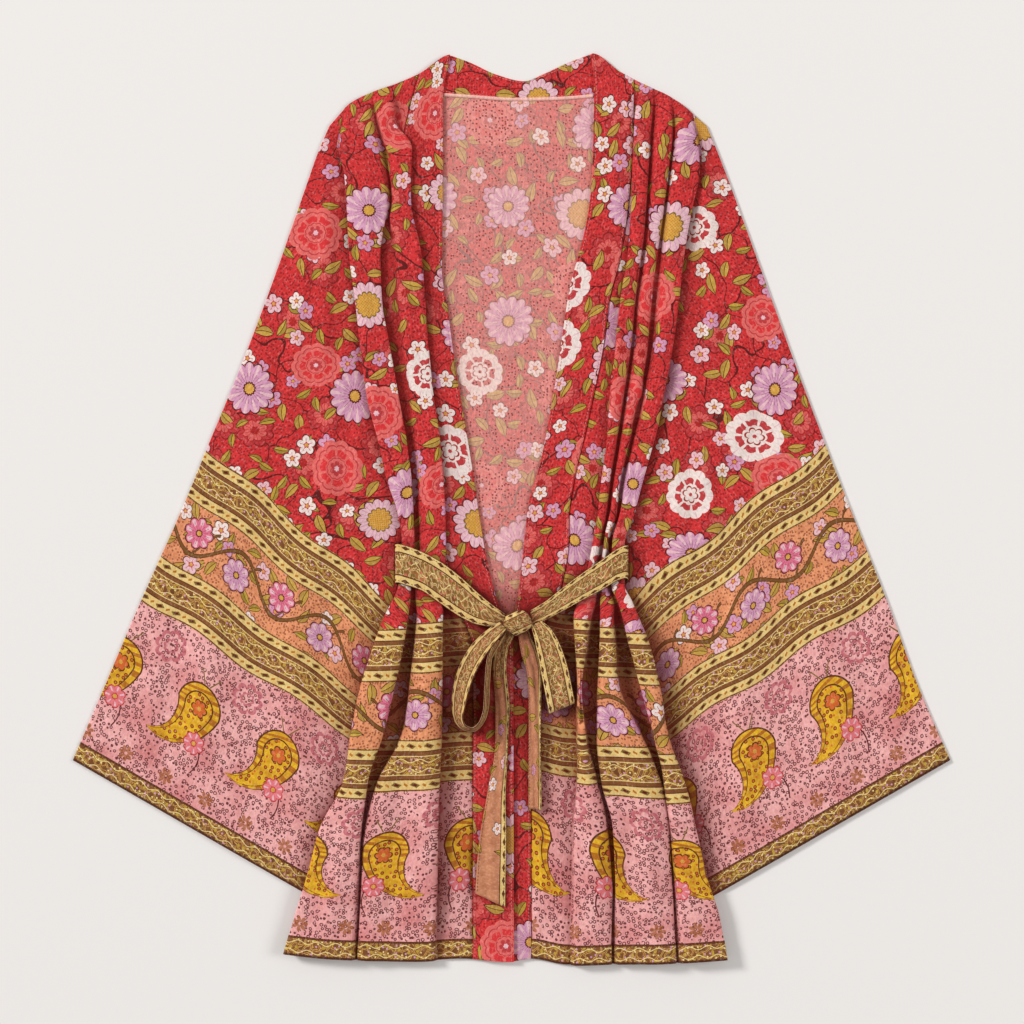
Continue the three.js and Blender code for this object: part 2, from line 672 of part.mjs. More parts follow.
// Ribbon along a 3-D middle line; each station has a width and a lean from flat
function ribbon(table, leanSide) {
  const centre = table.map((row) => new THREE.Vector3(row.x, row.y, row.z));
  const fractions = [-0.5, -0.18, 0.18, 0.5];
  const frames = centre.map((p, i) => {
    const a = centre[Math.max(0, i - 1)];
    const b = centre[Math.min(centre.length - 1, i + 1)];
    const along = b.clone().sub(a).normalize();
    const flat = new THREE.Vector3(-along.y, along.x, 0).normalize().multiplyScalar(leanSide);
    const lean = ((table[i].lean || 0) * Math.PI) / 180;
    const across = flat.multiplyScalar(Math.cos(lean)).add(new THREE.Vector3(0, 0, Math.sin(lean)));
    across.addScaledVector(along, -across.dot(along)).normalize();
    return { across, out: along.clone().cross(across).normalize() };
  });
  const grid = (side) => centre.map((p, i) => fractions.map((k) => {
    const at = p.clone().addScaledVector(frames[i].across, k * table[i].width);
    at.addScaledVector(frames[i].out, (side * BELT_WALL) / 2);
    return at.toArray();
  }));
  return slab(grid(1), grid(-1));
}

// Flattened loop: the ribbon turns over at its low end and comes back under itself
function flatLoop(steps) {
  const across = new THREE.Vector2(30, 12).normalize();
  const travelled = [0];
  for (let i = 1; i < steps.length; i += 1) {
    const sideways = Math.hypot(steps[i].x - steps[i - 1].x, steps[i].y - steps[i - 1].y);
    const sign = steps[i].y < steps[i - 1].y ? 1 : -1;
    travelled.push(travelled[i - 1] + sign * sideways);
  }
  const line = steps.map((row, i) => [travelled[i], row.z]);
  const normals = sectionNormals(line);
  const grid = (side) => steps.map((row, i) => [-0.5, -0.17, 0.17, 0.5].map((k) => {
    const down = (normals[i][0] * side * BELT_WALL) / 2;
    return [
      row.x + across.x * k * row.width + down * 0.3,
      row.y + across.y * k * row.width - down * 0.95,
      row.z + (normals[i][1] * side * BELT_WALL) / 2,
    ];
  }));
  return slab(grid(1), grid(-1));
}

function tail(table) {
  const grid = (side) => table.map((row) => [-0.5, -0.15, 0.15, 0.5].map((k) => [
    row.x + k * row.width,
    row.y - k * row.slant,
    row.z + (side * BELT_WALL) / 2 + (1 - 4 * k * k) * 0.5,
  ]));
  return slab(grid(1), grid(-1));
}

function add(group, name, geometry, color, roughness) {
  const material = new THREE.MeshStandardMaterial({ color, roughness, metalness: 0 });
  const mesh = new THREE.Mesh(geometry, material);
  mesh.name = name;
  group.add(mesh);
}

const RED = 0xb8383c;
const RED_BAND = 0xb0343a;
const WRONG_SIDE = 0xc97a72;
const BELT_OLIVE = 0xa58b52;

const robe = new THREE.Group();
robe.name = "kimono_robe";
add(robe, "back_panel", backPanel(), WRONG_SIDE, 0.85);
add(robe, "front_panel_left", frontPanel(LEFT_FRONT, -1), RED, 0.8);
add(robe, "front_panel_right", frontPanel(RIGHT_FRONT, 1), RED, 0.8);
add(robe, "sleeve_left", sleeve(LEFT_FRONT, LEFT_OUTER_FOLD, -1, 0.4), RED, 0.8);
add(robe, "sleeve_right", sleeve(RIGHT_FRONT, RIGHT_OUTER_FOLD, 1, 2.1), RED, 0.8);
add(robe, "front_band_left", frontBand(LEFT_FRONT, LEFT_EDGE, -1, true), RED_BAND, 0.8);
add(robe, "front_band_right", frontBand(RIGHT_FRONT, RIGHT_EDGE, 1, false), RED_BAND, 0.8);
add(robe, "neck_band", neckBand(), RED_BAND, 0.8);
add(robe, "belt_left", frontBelt(LEFT_BELT, -1), BELT_OLIVE, 0.8);
add(robe, "belt_back", backBelt(), BELT_OLIVE, 0.8);
add(robe, "belt_right", frontBelt(RIGHT_BELT, 1), BELT_OLIVE, 0.8);
add(robe, "knot", knotBody(), BELT_OLIVE, 0.8);
add(robe, "bow_loop_left", ribbon(LEFT_LOOP, 1), BELT_OLIVE, 0.8);
add(robe, "bow_loop_right", flatLoop(RIGHT_LOOP), BELT_OLIVE, 0.8);
add(robe, "tail_left", tail(LEFT_TAIL), BELT_OLIVE, 0.8);
add(robe, "tail_right", tail(RIGHT_TAIL), BELT_OLIVE, 0.8);

export default robe;
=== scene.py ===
# %% [markdown]
# # A short kimono robe, laid flat
# The robe lies on its back on a pale floor and the camera looks straight down at it. Its cloth is a
# thin printed one: red with flowers, and a border of stripes, vines and paisley leaves along the
# hem and the cuffs. This file makes the cloth pieces, the tied belt, the sewing and the print. All
# sizes are in millimetres until a piece is made, where they turn into metres.

import math

import bmesh
import bpy
import numpy as np
from mathutils import Matrix, Vector


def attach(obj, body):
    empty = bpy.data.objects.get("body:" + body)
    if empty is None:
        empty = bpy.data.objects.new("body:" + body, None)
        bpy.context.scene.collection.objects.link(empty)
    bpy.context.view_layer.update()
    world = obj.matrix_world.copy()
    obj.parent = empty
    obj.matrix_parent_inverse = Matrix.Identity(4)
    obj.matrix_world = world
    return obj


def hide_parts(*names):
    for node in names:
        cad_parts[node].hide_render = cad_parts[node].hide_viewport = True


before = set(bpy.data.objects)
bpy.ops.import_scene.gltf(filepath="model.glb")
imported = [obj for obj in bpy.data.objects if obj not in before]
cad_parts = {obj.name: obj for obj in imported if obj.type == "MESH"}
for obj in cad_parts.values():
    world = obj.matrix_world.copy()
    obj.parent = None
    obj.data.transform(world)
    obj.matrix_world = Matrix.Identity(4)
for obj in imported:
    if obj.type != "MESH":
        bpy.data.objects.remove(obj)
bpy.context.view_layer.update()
MM = 0.001
print("nodes in the frame:", len(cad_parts))

# %% [markdown]
# ## Sizes of the robe
# Each front is described by a short table. A row is a level from the shoulder down to the hem. The
# columns say how far from the middle line the outer crest and the long folds run, where the front
# band is sewn on, how far each pleat is folded over, how high the pleats stand, and how wide the
# dip beside them is. Left and right are as seen from above, with the neck at the top.

# %% Left front
LEFT_COLUMNS = ("y", "side", "outer", "inner", "seam", "side_fold", "outer_fold", "inner_fold", "rise", "dip")
LEFT_ROWS = [
    (385, 167, 145, 121, 92, 0, 0, 0, 1.0, 5),
    (353, 175, 138, 117, 103, 0.3, 0, 0.1, 5.2, 5),
    (325, 167, 130, 99.5, 110, 1, 0, 1, 5.4, 6),
    (290, 164, 124, 101, 110, 1, 0.1, 1, 5.4, 8),
    (249, 161.5, 131, 92.5, 110, 1, 1, 1, 5.6, 14),
    (210, 156, 129.5, 87.5, 108.5, 1, 1, 1, 5.8, 14),
    (164, 151, 122, 83, 99, 1, 1, 1, 5.8, 12),
    (114, 144, 113, 78, 93, 1, 1, 1, 5.8, 10),
    (69, 133, 105, 71.5, 86, 1, 1, 1, 5.8, 7),
    (29, 124, 100, 68, 79.5, 1, 1, 1, 5.8, 6),
    (-6, 112.5, 98, 66, 74, 1, 1, 1, 5.6, 5),
    (-34, 109, 97, 65.5, 70, 1, 1, 1, 5.4, 5),
    (-76, 112.5, 100, 67, 62, 1, 1, 1, 5.4, 3),
    (-92, 119, 101, 68, 57, 1, 1, 1, 6.2, 3),
    (-108, 127, 103, 68.5, 49, 1, 1, 1, 9, 3),
    (-139, 138, 108, 69, 38.5, 1, 1, 1, 12, 4),
    (-180, 151, 117, 70, 38.5, 1, 1, 1, 12, 6),
    (-226, 160, 128, 71, 38.5, 1, 0.9, 1, 11, 8),
    (-271, 167, 143, 73.5, 38.5, 1, 0.5, 0.9, 9, 8),
    (-316, 190, 150, 75.5, 38.5, 1, 0.25, 0.6, 7.5, 8),
    (-361, 202, 153, 77, 38.5, 1, 0.1, 0.35, 6.5, 8),
    (-406, 215, 156, 77, 38.5, 1, 0, 0.1, 5.6, 8),
    (-448, 226.5, 158, 77, 38.5, 1, 0, 0, 5.3, 8),
]
print("levels in the left front:", len(LEFT_ROWS))

# %% [markdown]
# The right front has a third long fold between the two that both fronts have, and more columns for it.

# %% Right front
RIGHT_COLUMNS = (
    "y", "side", "outer", "middle", "inner", "seam",
    "side_fold", "outer_fold", "middle_fold", "inner_fold", "rise", "dip",
)
RIGHT_ROWS = [
    (385, 180, 165, 148, 131, 122, 0, 0, 0, 0, 1.0, 5),
    (353, 190, 166, 145, 123, 122, 0.3, 0, 0, 0.6, 5.2, 5),
    (325, 186.5, 163, 142, 121.5, 121, 1, 0, 0, 1, 5.4, 5),
    (290, 179, 158, 139, 120, 117.5, 1, 0, 0, 1, 5.4, 5),
    (249, 171.5, 152, 135, 116.5, 109.5, 1, 0, 0, 1, 5.6, 5),
    (210, 167, 147, 129, 109, 98, 1, 0, 0, 1, 5.8, 5),
    (164, 161, 143, 125, 105.5, 92, 1, 0, 0, 1, 5.8, 5),
    (114, 151, 134, 117, 99.5, 82, 1, 0, 0.1, 1, 5.8, 5),
    (69, 142, 124, 109.5, 95.5, 72, 1, 0, 0.2, 1, 5.8, 5),
    (29, 131, 114, 103, 90, 62.5, 1, 0.1, 0.3, 1, 5.8, 4),
    (-6, 122, 107.5, 97.5, 86, 57.5, 1, 0.5, 0.6, 1, 5.6, 3),
    (-34, 112.8, 100.5, 92, 81, 57, 1, 1, 1, 1, 5.4, 2),
    (-76, 112.5, 99.5, 88.5, 72, 50, 1, 1, 1, 1, 5.4, 2),
    (-92, 120, 106, 88.5, 66, 46, 1, 1, 1, 1, 6.2, 2),
    (-108, 126.5, 110.5, 88.5, 62, 37, 1, 1, 1, 1, 9, 3),
    (-139, 138.5, 118, 88.5, 64, 19.5, 1, 1, 1, 0.9, 12, 5),
    (-180, 148, 129, 88.5, 67, 19.5, 1, 1, 1, 0.6, 12, 8),
    (-226, 156, 141, 88.5, 67, 19.5, 1, 0.7, 1, 0.4, 11, 6),
    (-271, 172, 152, 92, 66, 19.5, 1, 0.3, 0.8, 0.3, 9, 5),
    (-316, 183, 160, 101, 62, 19.5, 1, 0.1, 0.6, 0.2, 7.5, 5),
    (-361, 193, 164, 103, 62, 19.5, 1, 0, 0.35, 0.1, 6.5, 5),
    (-406, 207, 167, 104, 62, 19.5, 1, 0, 0.1, 0, 5.6, 5),
    (-448, 214.5, 169, 105, 62, 19.5, 1, 0, 0, 0, 5.3, 5),
]
print("levels in the right front:", len(RIGHT_ROWS))

# %% [markdown]
# The outline of the laid robe and the free edges of its bands are lines seen from above. They could be
# drawn as curves in the editor; as pairs of numbers they can be read and checked against a ruler.

# %% Lines seen from above
# (x, y) pairs along the shoulders, the neck seam, the upper edge of the neck band and the hem
SHOULDER = [(-176, 384), (-166, 401), (-142, 415), (-116, 424.5), (-92, 435), (-60, 454), (81, 455),
            (108, 437), (133, 424), (158, 412), (183, 393), (190, 384)]
NECK_SEAM = [(-66, 414), (-38, 412), (2, 409.5), (38, 410), (84, 413)]
NECK_EDGE = [(-60, 453), (-41, 446), (-16, 434.5), (13, 427.5), (33, 435), (58, 446.5), (81, 455)]
HEM = [(-228, -443), (-180, -448), (-93, -451), (-50, -449), (-2, -452), (20, -449), (56, -455),
       (100, -454), (150, -453), (216, -449)]
# Free edge of each front band, as (y, x)
LEFT_EDGE = [(452, -61), (409, -68.5), (329, -68.5), (240, -69.5), (195, -63), (141, -56), (109, -50.5),
             (49, -40.5), (-11, -31.5), (-51, -24.5), (-91, -14.5), (-131, 1.5), (-448, 2.5)]
RIGHT_EDGE = [(454, 80), (416, 82.5), (346, 81), (314, 79), (282, 74), (217, 57.5), (143, 46.5),
              (45, 28.5), (7, 17.5), (-71, 8.5), (-101, 3.5), (-145, -22.5), (-448, -22.5)]
TOP_Y, HEM_Y = 385, -448
CLOTH, LAYER = 1.3, 1.7  # room for one layer in the solids, and from one layer's middle to the next
FULL_TURN = 6.283  # radians
BAND_THICK, BELT_THICK = 2.4, 1.6
print("shoulder to hem, mm:", TOP_Y - HEM_Y)

# %% [markdown]
# ## Small tools for cloth
# A smooth curve through a table column, a soft step, and a sheet maker. The sheet maker takes a net
# of points, adds the cloth's own flat coordinates for the print, and makes one mesh piece of it.

# %% Curves and steps


def curve(xs, ys):
    """A smooth line through points that never swings past them."""
    xs, ys = np.asarray(xs, float), np.asarray(ys, float)
    if xs[0] > xs[-1]:
        xs, ys = xs[::-1], ys[::-1]
    step = np.diff(xs)
    slope = np.diff(ys) / step
    turn = np.zeros(len(xs))
    turn[0], turn[-1] = slope[0], slope[-1]
    for i in range(1, len(xs) - 1):
        if slope[i - 1] * slope[i] > 0:
            a, b = 2 * step[i] + step[i - 1], step[i] + 2 * step[i - 1]
            turn[i] = (a + b) / (a / slope[i - 1] + b / slope[i])

    def at(x):
        x = np.clip(np.asarray(x, float), xs[0], xs[-1])
        i = np.clip(np.searchsorted(xs, x) - 1, 0, len(step) - 1)
        t = (x - xs[i]) / step[i]
        return (
            (1 + 2 * t) * (1 - t) ** 2 * ys[i]
            + t * (1 - t) ** 2 * step[i] * turn[i]
            + t * t * (3 - 2 * t) * ys[i + 1]
            + t * t * (t - 1) * step[i] * turn[i + 1]
        )

    return at


def pairs(table):
    return curve([p[0] for p in table], [p[1] for p in table])


def columns(names, rows):
    return {n: curve([r[0] for r in rows], [r[i] for r in rows]) for i, n in enumerate(names)}


def soft(a, b, x):
    """0 before a, 1 after b, smooth between. a may be above b."""
    t = np.clip((np.asarray(x, float) - a) / (b - a), 0, 1)
    return t * t * (3 - 2 * t)


shoulder, neck_seam, neck_edge, hem = pairs(SHOULDER), pairs(NECK_SEAM), pairs(NECK_EDGE), pairs(HEM)
left_edge, right_edge = pairs(LEFT_EDGE), pairs(RIGHT_EDGE)
left, right = columns(LEFT_COLUMNS, LEFT_ROWS), columns(RIGHT_COLUMNS, RIGHT_ROWS)
print("left crest at the waist:", round(float(left["side"](-50)), 1), "mm from the middle")

# %% [markdown]
# ## Layers that lie on each other
# Each layer of the real robe rests on the one below it and climbs where something thicker lies under
# it. A cloth simulation could find these heights, but it is slow and every change would move the
# folds. Here a short sum says how high the back panel lies, and the fronts and bands add their layers.

# %% Layers that lie on each other
under_skirt = pairs([(-33.5, 117.5), (-80, 118), (-226, 133), (-413, 155.5)])
# the same edge of the sleeve cloth itself, which closes up to the belt and the pinched waist
sleeve_inner = pairs([(-33.5, 109.5), (-37, 116.4), (-73, 116.4), (-77, 112.8), (-92, 116.8), (-110, 119),
                      (-226, 133), (-413, 155.5)])


def back_middle(x, y, lead=0.0):
    """Height of the back panel: it rides over the belt and over the sleeves' inner parts."""
    over_belt = soft(-22, -34, y) * soft(-90, -78, y) * (BELT_THICK + 0.4)
    inward = under_skirt(y) - np.abs(x) - lead
    over_sleeve = np.clip((16 - inward) / 14, 0, 1) * soft(-60, -84, y) * 2 * LAYER
    return CLOTH / 2 + np.maximum(over_belt, over_sleeve)


def front_base(x, y):
    return back_middle(x, y, 12) + LAYER


def bend(x, y):
    """Where a level really runs: it follows the shoulders at the top and the hem at the bottom."""
    return y + (shoulder(x) - TOP_Y) * soft(210, TOP_Y, y) + (hem(x) - HEM_Y) * soft(-316, HEM_Y, y)


print("back panel over the belt, mm:", round(float(back_middle(0.0, -56.0)), 2))

# %% [markdown]
# ## One maker for every sheet
# Cloth is one thin layer with a right and a wrong side. A closed slab could be modelled by hand, but
# a single net with a Solidify modifier keeps both sides the same distance apart everywhere. Blender's
# grid operator makes the net, each point is moved to its place, and the flat cloth's coordinates go
# into a UV map so that the print follows every fold.

# %% Smoother nets


def finer(net, extra):
    """A net of control points made finer along its second axis with smooth curves. extra says how
    many new steps each stretch gets."""
    net = np.asarray(net, float)
    gap = np.maximum(np.linalg.norm(np.diff(net, axis=1), axis=2, keepdims=True), 1e-6)
    t = np.concatenate([np.zeros_like(gap[:, :1]), np.cumsum(np.sqrt(gap), axis=1)], axis=1)
    tangent = np.empty_like(net)
    tangent[:, 1:-1] = (net[:, 2:] - net[:, :-2]) / (t[:, 2:] - t[:, :-2])
    tangent[:, 0] = (net[:, 1] - net[:, 0]) / (t[:, 1] - t[:, 0])
    tangent[:, -1] = (net[:, -1] - net[:, -2]) / (t[:, -1] - t[:, -2])
    parts = []
    for i in range(net.shape[1] - 1):
        n = extra[i] if hasattr(extra, "__len__") else extra
        s = (np.arange(n) / n)[None, :, None]
        span = (t[:, i + 1] - t[:, i])[:, None]
        parts.append(
            (1 + 2 * s) * (1 - s) ** 2 * net[:, i : i + 1]
            + s * (1 - s) ** 2 * span * tangent[:, i : i + 1]
            + s * s * (3 - 2 * s) * net[:, i + 1 : i + 2]
            + s * s * (s - 1) * span * tangent[:, i + 1 : i + 2]
        )
    parts.append(net[:, -1:])
    return np.concatenate(parts, axis=1)


def normals_of(net):
    n = np.cross(np.gradient(net, axis=0), np.gradient(net, axis=1))
    return n / np.maximum(np.linalg.norm(n, axis=2, keepdims=True), 1e-9)


def along(net, axis=1):
    """Distance travelled along a net's rows."""
    step = np.linalg.norm(np.diff(net, axis=axis), axis=2)
    start = np.zeros_like(step[:, :1] if axis == 1 else step[:1])
    return np.concatenate([start, np.cumsum(step, axis=axis)], axis=axis)


print("three points grow to", finer([[(0, 0, 0), (1, 0, 0), (2, 1, 0)]], 3).shape[1])

# %% [markdown]
# The sheet maker keeps each net it used, as the stitches are sewn along it later. The side that the
# faces look to gets the first material, and the Solidify modifier gives the other side the last one.

# %% Sheet maker
NETS = {}


def place_object(name, mesh):
    item = bpy.data.objects.new(name, mesh)
    bpy.context.scene.collection.objects.link(item)
    return item


def sheet_piece(name, net, u, v, materials, thick, face_up=True, bevel=0.0, judge=0):
    """One mesh piece from a net of points in mm, with the flat cloth's coordinates as its UV map.
    judge is the first column that tells which way the net faces."""
    rows, cols = net.shape[:2]
    NETS[name] = (net, v)
    mesh = bpy.data.meshes.new(name)
    bm = bmesh.new()
    bmesh.ops.create_grid(bm, x_segments=cols - 1, y_segments=rows - 1, size=0.5)
    where = {}
    for vert in bm.verts:
        i = round((vert.co.y + 0.5) * (rows - 1))
        j = round((vert.co.x + 0.5) * (cols - 1))
        where[vert.index] = (i, j)
        vert.co = Vector(net[i, j] * MM)
    uv = bm.loops.layers.uv.new("flat_cloth")
    bm.loops.layers.uv.new("fold_shade")
    for face in bm.faces:
        face.smooth = True
        for loop in face.loops:
            i, j = where[loop.vert.index]
            loop[uv].uv = (u[i, j] * MM, v[i, j] * MM)
    turn = np.cross(np.gradient(net, axis=1), np.gradient(net, axis=0))[:, judge:, 2]
    if (turn.sum() > 0) != face_up:
        bmesh.ops.reverse_faces(bm, faces=bm.faces[:])
    bm.to_mesh(mesh)
    bm.free()
    piece = place_object(name, mesh)
    for m in materials:
        mesh.materials.append(m)
    solid = piece.modifiers.new("cloth_thickness", "SOLIDIFY")
    solid.thickness = thick * MM
    solid.offset = 0.0
    solid.use_rim = True
    solid.material_offset = len(materials) - 1
    if bevel:
        soften = piece.modifiers.new("soft_edge", "BEVEL")
        soften.width = bevel * MM
        soften.segments = 2
        soften.limit_method = "ANGLE"
    print(f"{name}: {rows} x {cols} points")
    return piece


print("sheet maker ready")

# %% [markdown]
# ## The print
# The print is worked out from the cloth's own flat coordinates, so that it runs into the folds and
# comes out again as on real cloth. A small writer for sums turns plain arithmetic into material
# nodes. The floral ground is scattered with cells: each cell holds one flower or leaf.

# %% Numbers in a material
WORK = {}  # the node tree of the material being written


class Val:
    """A number on its way through a material. + - * / and the functions below add nodes."""

    def __init__(self, source):
        self.source = source

    def __add__(self, other):
        return calc("ADD", self, other)

    __radd__ = __add__

    def __mul__(self, other):
        return calc("MULTIPLY", self, other)

    __rmul__ = __mul__

    def __sub__(self, other):
        return calc("SUBTRACT", self, other)

    def __rsub__(self, other):
        return calc("SUBTRACT", other, self)

    def __truediv__(self, other):
        return calc("DIVIDE", self, other)

    def __gt__(self, other):
        return calc("GREATER_THAN", self, other)

    def __lt__(self, other):
        return calc("LESS_THAN", self, other)


def new_node(kind):
    return WORK["tree"].nodes.new(kind)


def feed(value, socket):
    """Set a socket from a Val, a plain number or a colour."""
    if isinstance(value, Val):
        WORK["tree"].links.new(value.source, socket)
    else:
        socket.default_value = (*value, 1) if isinstance(value, tuple) else value


def calc(operation, *values):
    node = new_node("ShaderNodeMath")
    node.operation = operation
    for value, socket in zip(values, node.inputs):
        feed(value, socket)
    return Val(node.outputs[0])


def begin_material(name):
    """A new material that the sums are written into, and its surface shader."""
    material = bpy.data.materials.new(name)
    material.use_nodes = True
    WORK["tree"] = material.node_tree
    return material, material.node_tree.nodes["Principled BSDF"]


print("sums can be written")

# %% [markdown]
# A few more words for the same writer: limits, repeats, colours laid over each other, and the way in
# to the cloth's own coordinates. With them a motif reads like a recipe.

# %% Small sums and colours


def absolute(x):
    return calc("ABSOLUTE", x)


def limit(x, low=0.0, high=1.0):
    return calc("MINIMUM", calc("MAXIMUM", x, low), high)


def between(x, low, high):
    return (x > low) * (x < high)


def repeat(x, length):
    """Distance from the middle of the repeat that x is in."""
    return calc("WRAP", x, length / 2, -length / 2)


def paint(base, colour, mask):
    """The colour laid over the base where the mask is 1."""
    node = new_node("ShaderNodeMix")
    node.data_type = "RGBA"
    for value, at in ((mask, 0), (base, 6), (colour, 7)):
        feed(value, node.inputs[at])
    return Val(node.outputs[2])


def vector(x, y, z=0.0):
    node = new_node("ShaderNodeCombineXYZ")
    for value, socket in zip((x, y, z), node.inputs):
        feed(value, socket)
    return Val(node.outputs[0])


def split(value, kind="ShaderNodeSeparateXYZ"):
    node = new_node(kind)
    feed(value, node.inputs[0])
    return [Val(out) for out in node.outputs]


def read_map(name):
    """The two numbers of a UV map."""
    node = new_node("ShaderNodeUVMap")
    node.uv_map = name
    return split(Val(node.outputs[0]))[:2]


print("colours can be laid over each other")

# %% [markdown]
# Flowers and specks are scattered, yet never far apart or piled up. A list of places would be long, so
# Voronoi cells are used: each cell has its own place and its own chance numbers, and holds one motif.

# %% Scattered cells


def cells(x, y, size, seed, stray=0.75, feature="F1"):
    """Scattered cells about size mm apart: place in the cell, three chance numbers, and distance."""
    node = new_node("ShaderNodeTexVoronoi")
    node.voronoi_dimensions = "2D"
    node.feature = feature
    node.inputs["Scale"].default_value = 1 / size
    node.inputs["Randomness"].default_value = stray
    x, y = x + seed * 317.0, y + seed * 173.0
    feed(vector(x, y), node.inputs["Vector"])
    distance = Val(node.outputs["Distance"]) * size
    if feature != "F1":
        return distance
    px, py, _ = split(Val(node.outputs["Position"]))
    chance = split(Val(node.outputs["Color"]), "ShaderNodeSeparateColor")
    return x - px, y - py, chance, distance


def noise(x, y, size, seed=0.0, detail=2.0):
    node = new_node("ShaderNodeTexNoise")
    node.noise_dimensions = "2D"
    node.inputs["Scale"].default_value = 1 / size
    node.inputs["Detail"].default_value = detail
    feed(vector(x + seed * 91.0, y - seed * 57.0), node.inputs["Vector"])
    return Val(node.outputs[0])


def hexa(code):
    """A colour written as RRGGBB, as the linear numbers a material wants."""
    parts = [int(code[i : i + 2], 16) / 255 for i in (0, 2, 4)]
    return tuple(c / 12.92 if c <= 0.04045 else ((c + 0.055) / 1.055) ** 2.4 for c in parts)


print("white is", hexa("FFFFFF"))

# %% [markdown]
# ## Dyes
# A printed cloth uses a few dyes over and over. They are named once here, and each motif picks from
# them, as a printer's screens would.

# %% Colours of the print
RED, RED_DARK, MAROON, INK = hexa("E03639"), hexa("A8221E"), hexa("5E1410"), hexa("43120C")
SALMON, ROSE, CREAM, BLUSH = hexa("E86C66"), hexa("C43C40"), hexa("F4E2DA"), hexa("EDC0C6")
LILAC, GOLD, AMBER, SUN = hexa("D99CBA"), hexa("DCA648"), hexa("B8701A"), hexa("F6C226")
LEAF, LEAF_DARK, TRIM, TRIM_DARK = hexa("C2A03A"), hexa("80662A"), hexa("9E6636"), hexa("563018")
BUTTER, STRAW, BROWN = hexa("F4DA92"), hexa("D6A452"), hexa("5E3014")
PEACH, PEACH_DARK, STEM = hexa("F2A070"), hexa("C47048"), hexa("7C5424")
PINK, PINK_DARK, MARK = hexa("FFBEBA"), hexa("DC8886"), hexa("5A1A1E")
FADED, BELT_TAN, BELT_DARK = hexa("FFC8BC"), hexa("B07640"), hexa("62341A")
# SHADE is no dye of the print: it is the colour of the shade painted into deep folds
SHADE, RING_ROSE, TAN_SPRAY, ORANGE = hexa("681409"), hexa("C4626C"), hexa("A8602C"), hexa("D8682C")
VINE_ROSE, BLOOM_ROSE, TAIL_PEACH, TAIL_DARK = hexa("E2728E"), hexa("E87A80"), hexa("D8956E"), hexa("B06A48")
print("colours set")

# %% [markdown]
# ## Flowers of the ground
# A printed flower is a scalloped round with rings of colour, rays and a small heart. It could be drawn
# as a picture; worked out from radius and angle it needs no image and stays sharp at any distance.

# %% Petals, rings and rays


def rings(place, bands):
    """Colours from the middle outward; bands are (outer edge, colour)."""
    colour = bands[0][1]
    for (edge, _), (_, after) in zip(bands, bands[1:]):
        colour = paint(colour, after, place > edge)
    return colour


def petals(radius, angle, count, reach, depth, turn):
    """Place in a flower, 0 at its middle and 1 on its scalloped edge."""
    lobe = absolute(calc("COSINE", angle * (count / 2) + turn))
    return radius / (reach * (1 - depth + depth * calc("POWER", lobe, 0.6)))


def polar(x, y):
    return calc("SQRT", x * x + y * y), calc("ARCTAN2", y, x)


def choose(a, b, mask):
    return a + (b - a) * mask


def spokes(angle, count, turn, width):
    """1 on narrow rays, count of them, and 0 between."""
    return absolute(calc("SINE", angle * (count / 2) + turn)) < width


print("petals ready")

# %% [markdown]
# Four kinds of large flower carry the ground. Each kind could be scattered by itself, but then they
# would pile up; a chance number of each cell picks the kind instead, so every cell holds just one.

# %% Large flowers


def large_flowers(x, y, colour, size, seed, where):
    """Four kinds: a pale lace round, a salmon rose, a gold sunflower and a small-eyed daisy."""
    px, py, (c1, c2, c3), _ = cells(x, y, size, seed, 0.5)
    radius, angle = polar(px, py)
    reach = size * (0.265 + 0.075 * c3)
    turn = c2 * 6
    full = petals(radius, angle, 11, reach, 0.12, turn)
    starry = petals(radius, angle, 13, reach, 0.22, turn)
    heart = petals(radius, angle, 6, reach * 0.34, 0.4, turn)
    beans = between(full, 0.43, 0.66) * (1 - spokes(angle, 7, turn, 0.3))
    lace = paint(CREAM, ROSE, beans)
    lace = paint(lace, BLUSH, spokes(angle, 11, turn, 0.12) * (full > 0.74))
    lace = paint(lace, rings(heart, [(0.24, ROSE), (0.86, CREAM), (2, RED_DARK)]), heart < 1.05)
    rose = paint(SALMON, RED, beans)
    rose = paint(rose, ROSE, between(full, 0.79, 0.84) + between(full, 0.36, 0.4))
    rose = paint(rose, rings(heart, [(0.3, BLUSH), (0.8, ROSE), (2, SALMON)]), heart < 1)
    sun = rings(starry, [(0.5, GOLD), (0.56, LEAF_DARK), (0.93, BLUSH), (2, MAROON)])
    mesh = calc("SINE", px * 2.1) * calc("SINE", py * 2.1) > 0.35
    sun = paint(sun, AMBER, mesh * (starry < 0.5) * 0.7)
    sun = paint(sun, LILAC, spokes(angle, 26, turn, 0.3) * between(starry, 0.56, 0.93))
    daisy = rings(starry, [(0.2, GOLD), (0.27, MAROON), (0.94, LILAC), (2, MAROON)])
    daisy = paint(daisy, BLUSH, spokes(angle, 13, turn, 0.5) * between(starry, 0.45, 0.94))
    daisy = paint(daisy, MARK, spokes(angle, 26, turn, 0.16) * between(starry, 0.27, 0.6))
    flower = paint(lace, rose, c1 > 0.11)
    flower = paint(flower, sun, c1 > 0.42)
    flower = paint(flower, daisy, c1 > 0.75)
    place = choose(full, starry, c1 > 0.42)
    return paint(colour, flower, (place < 1) * where)


def ghost_flowers(x, y, colour, size, seed, where):
    """Dull flowers that lie behind the others."""
    px, py, (c1, c2, _), _ = cells(x, y, size, seed, 0.8)
    radius, angle = polar(px, py)
    place = petals(radius, angle, 8, size * 0.33, 0.3, c1 * 6)
    bands = [(0.25, RED_DARK), (0.6, SALMON), (0.68, RED_DARK), (0.92, ROSE), (2, MAROON)]
    flower = rings(place, bands)
    flower = paint(flower, RED_DARK, spokes(angle, 16, c1 * 6, 0.2))
    return paint(colour, flower, (place < 1) * (c2 < 0.75) * where * 0.75)


print("large flowers ready")

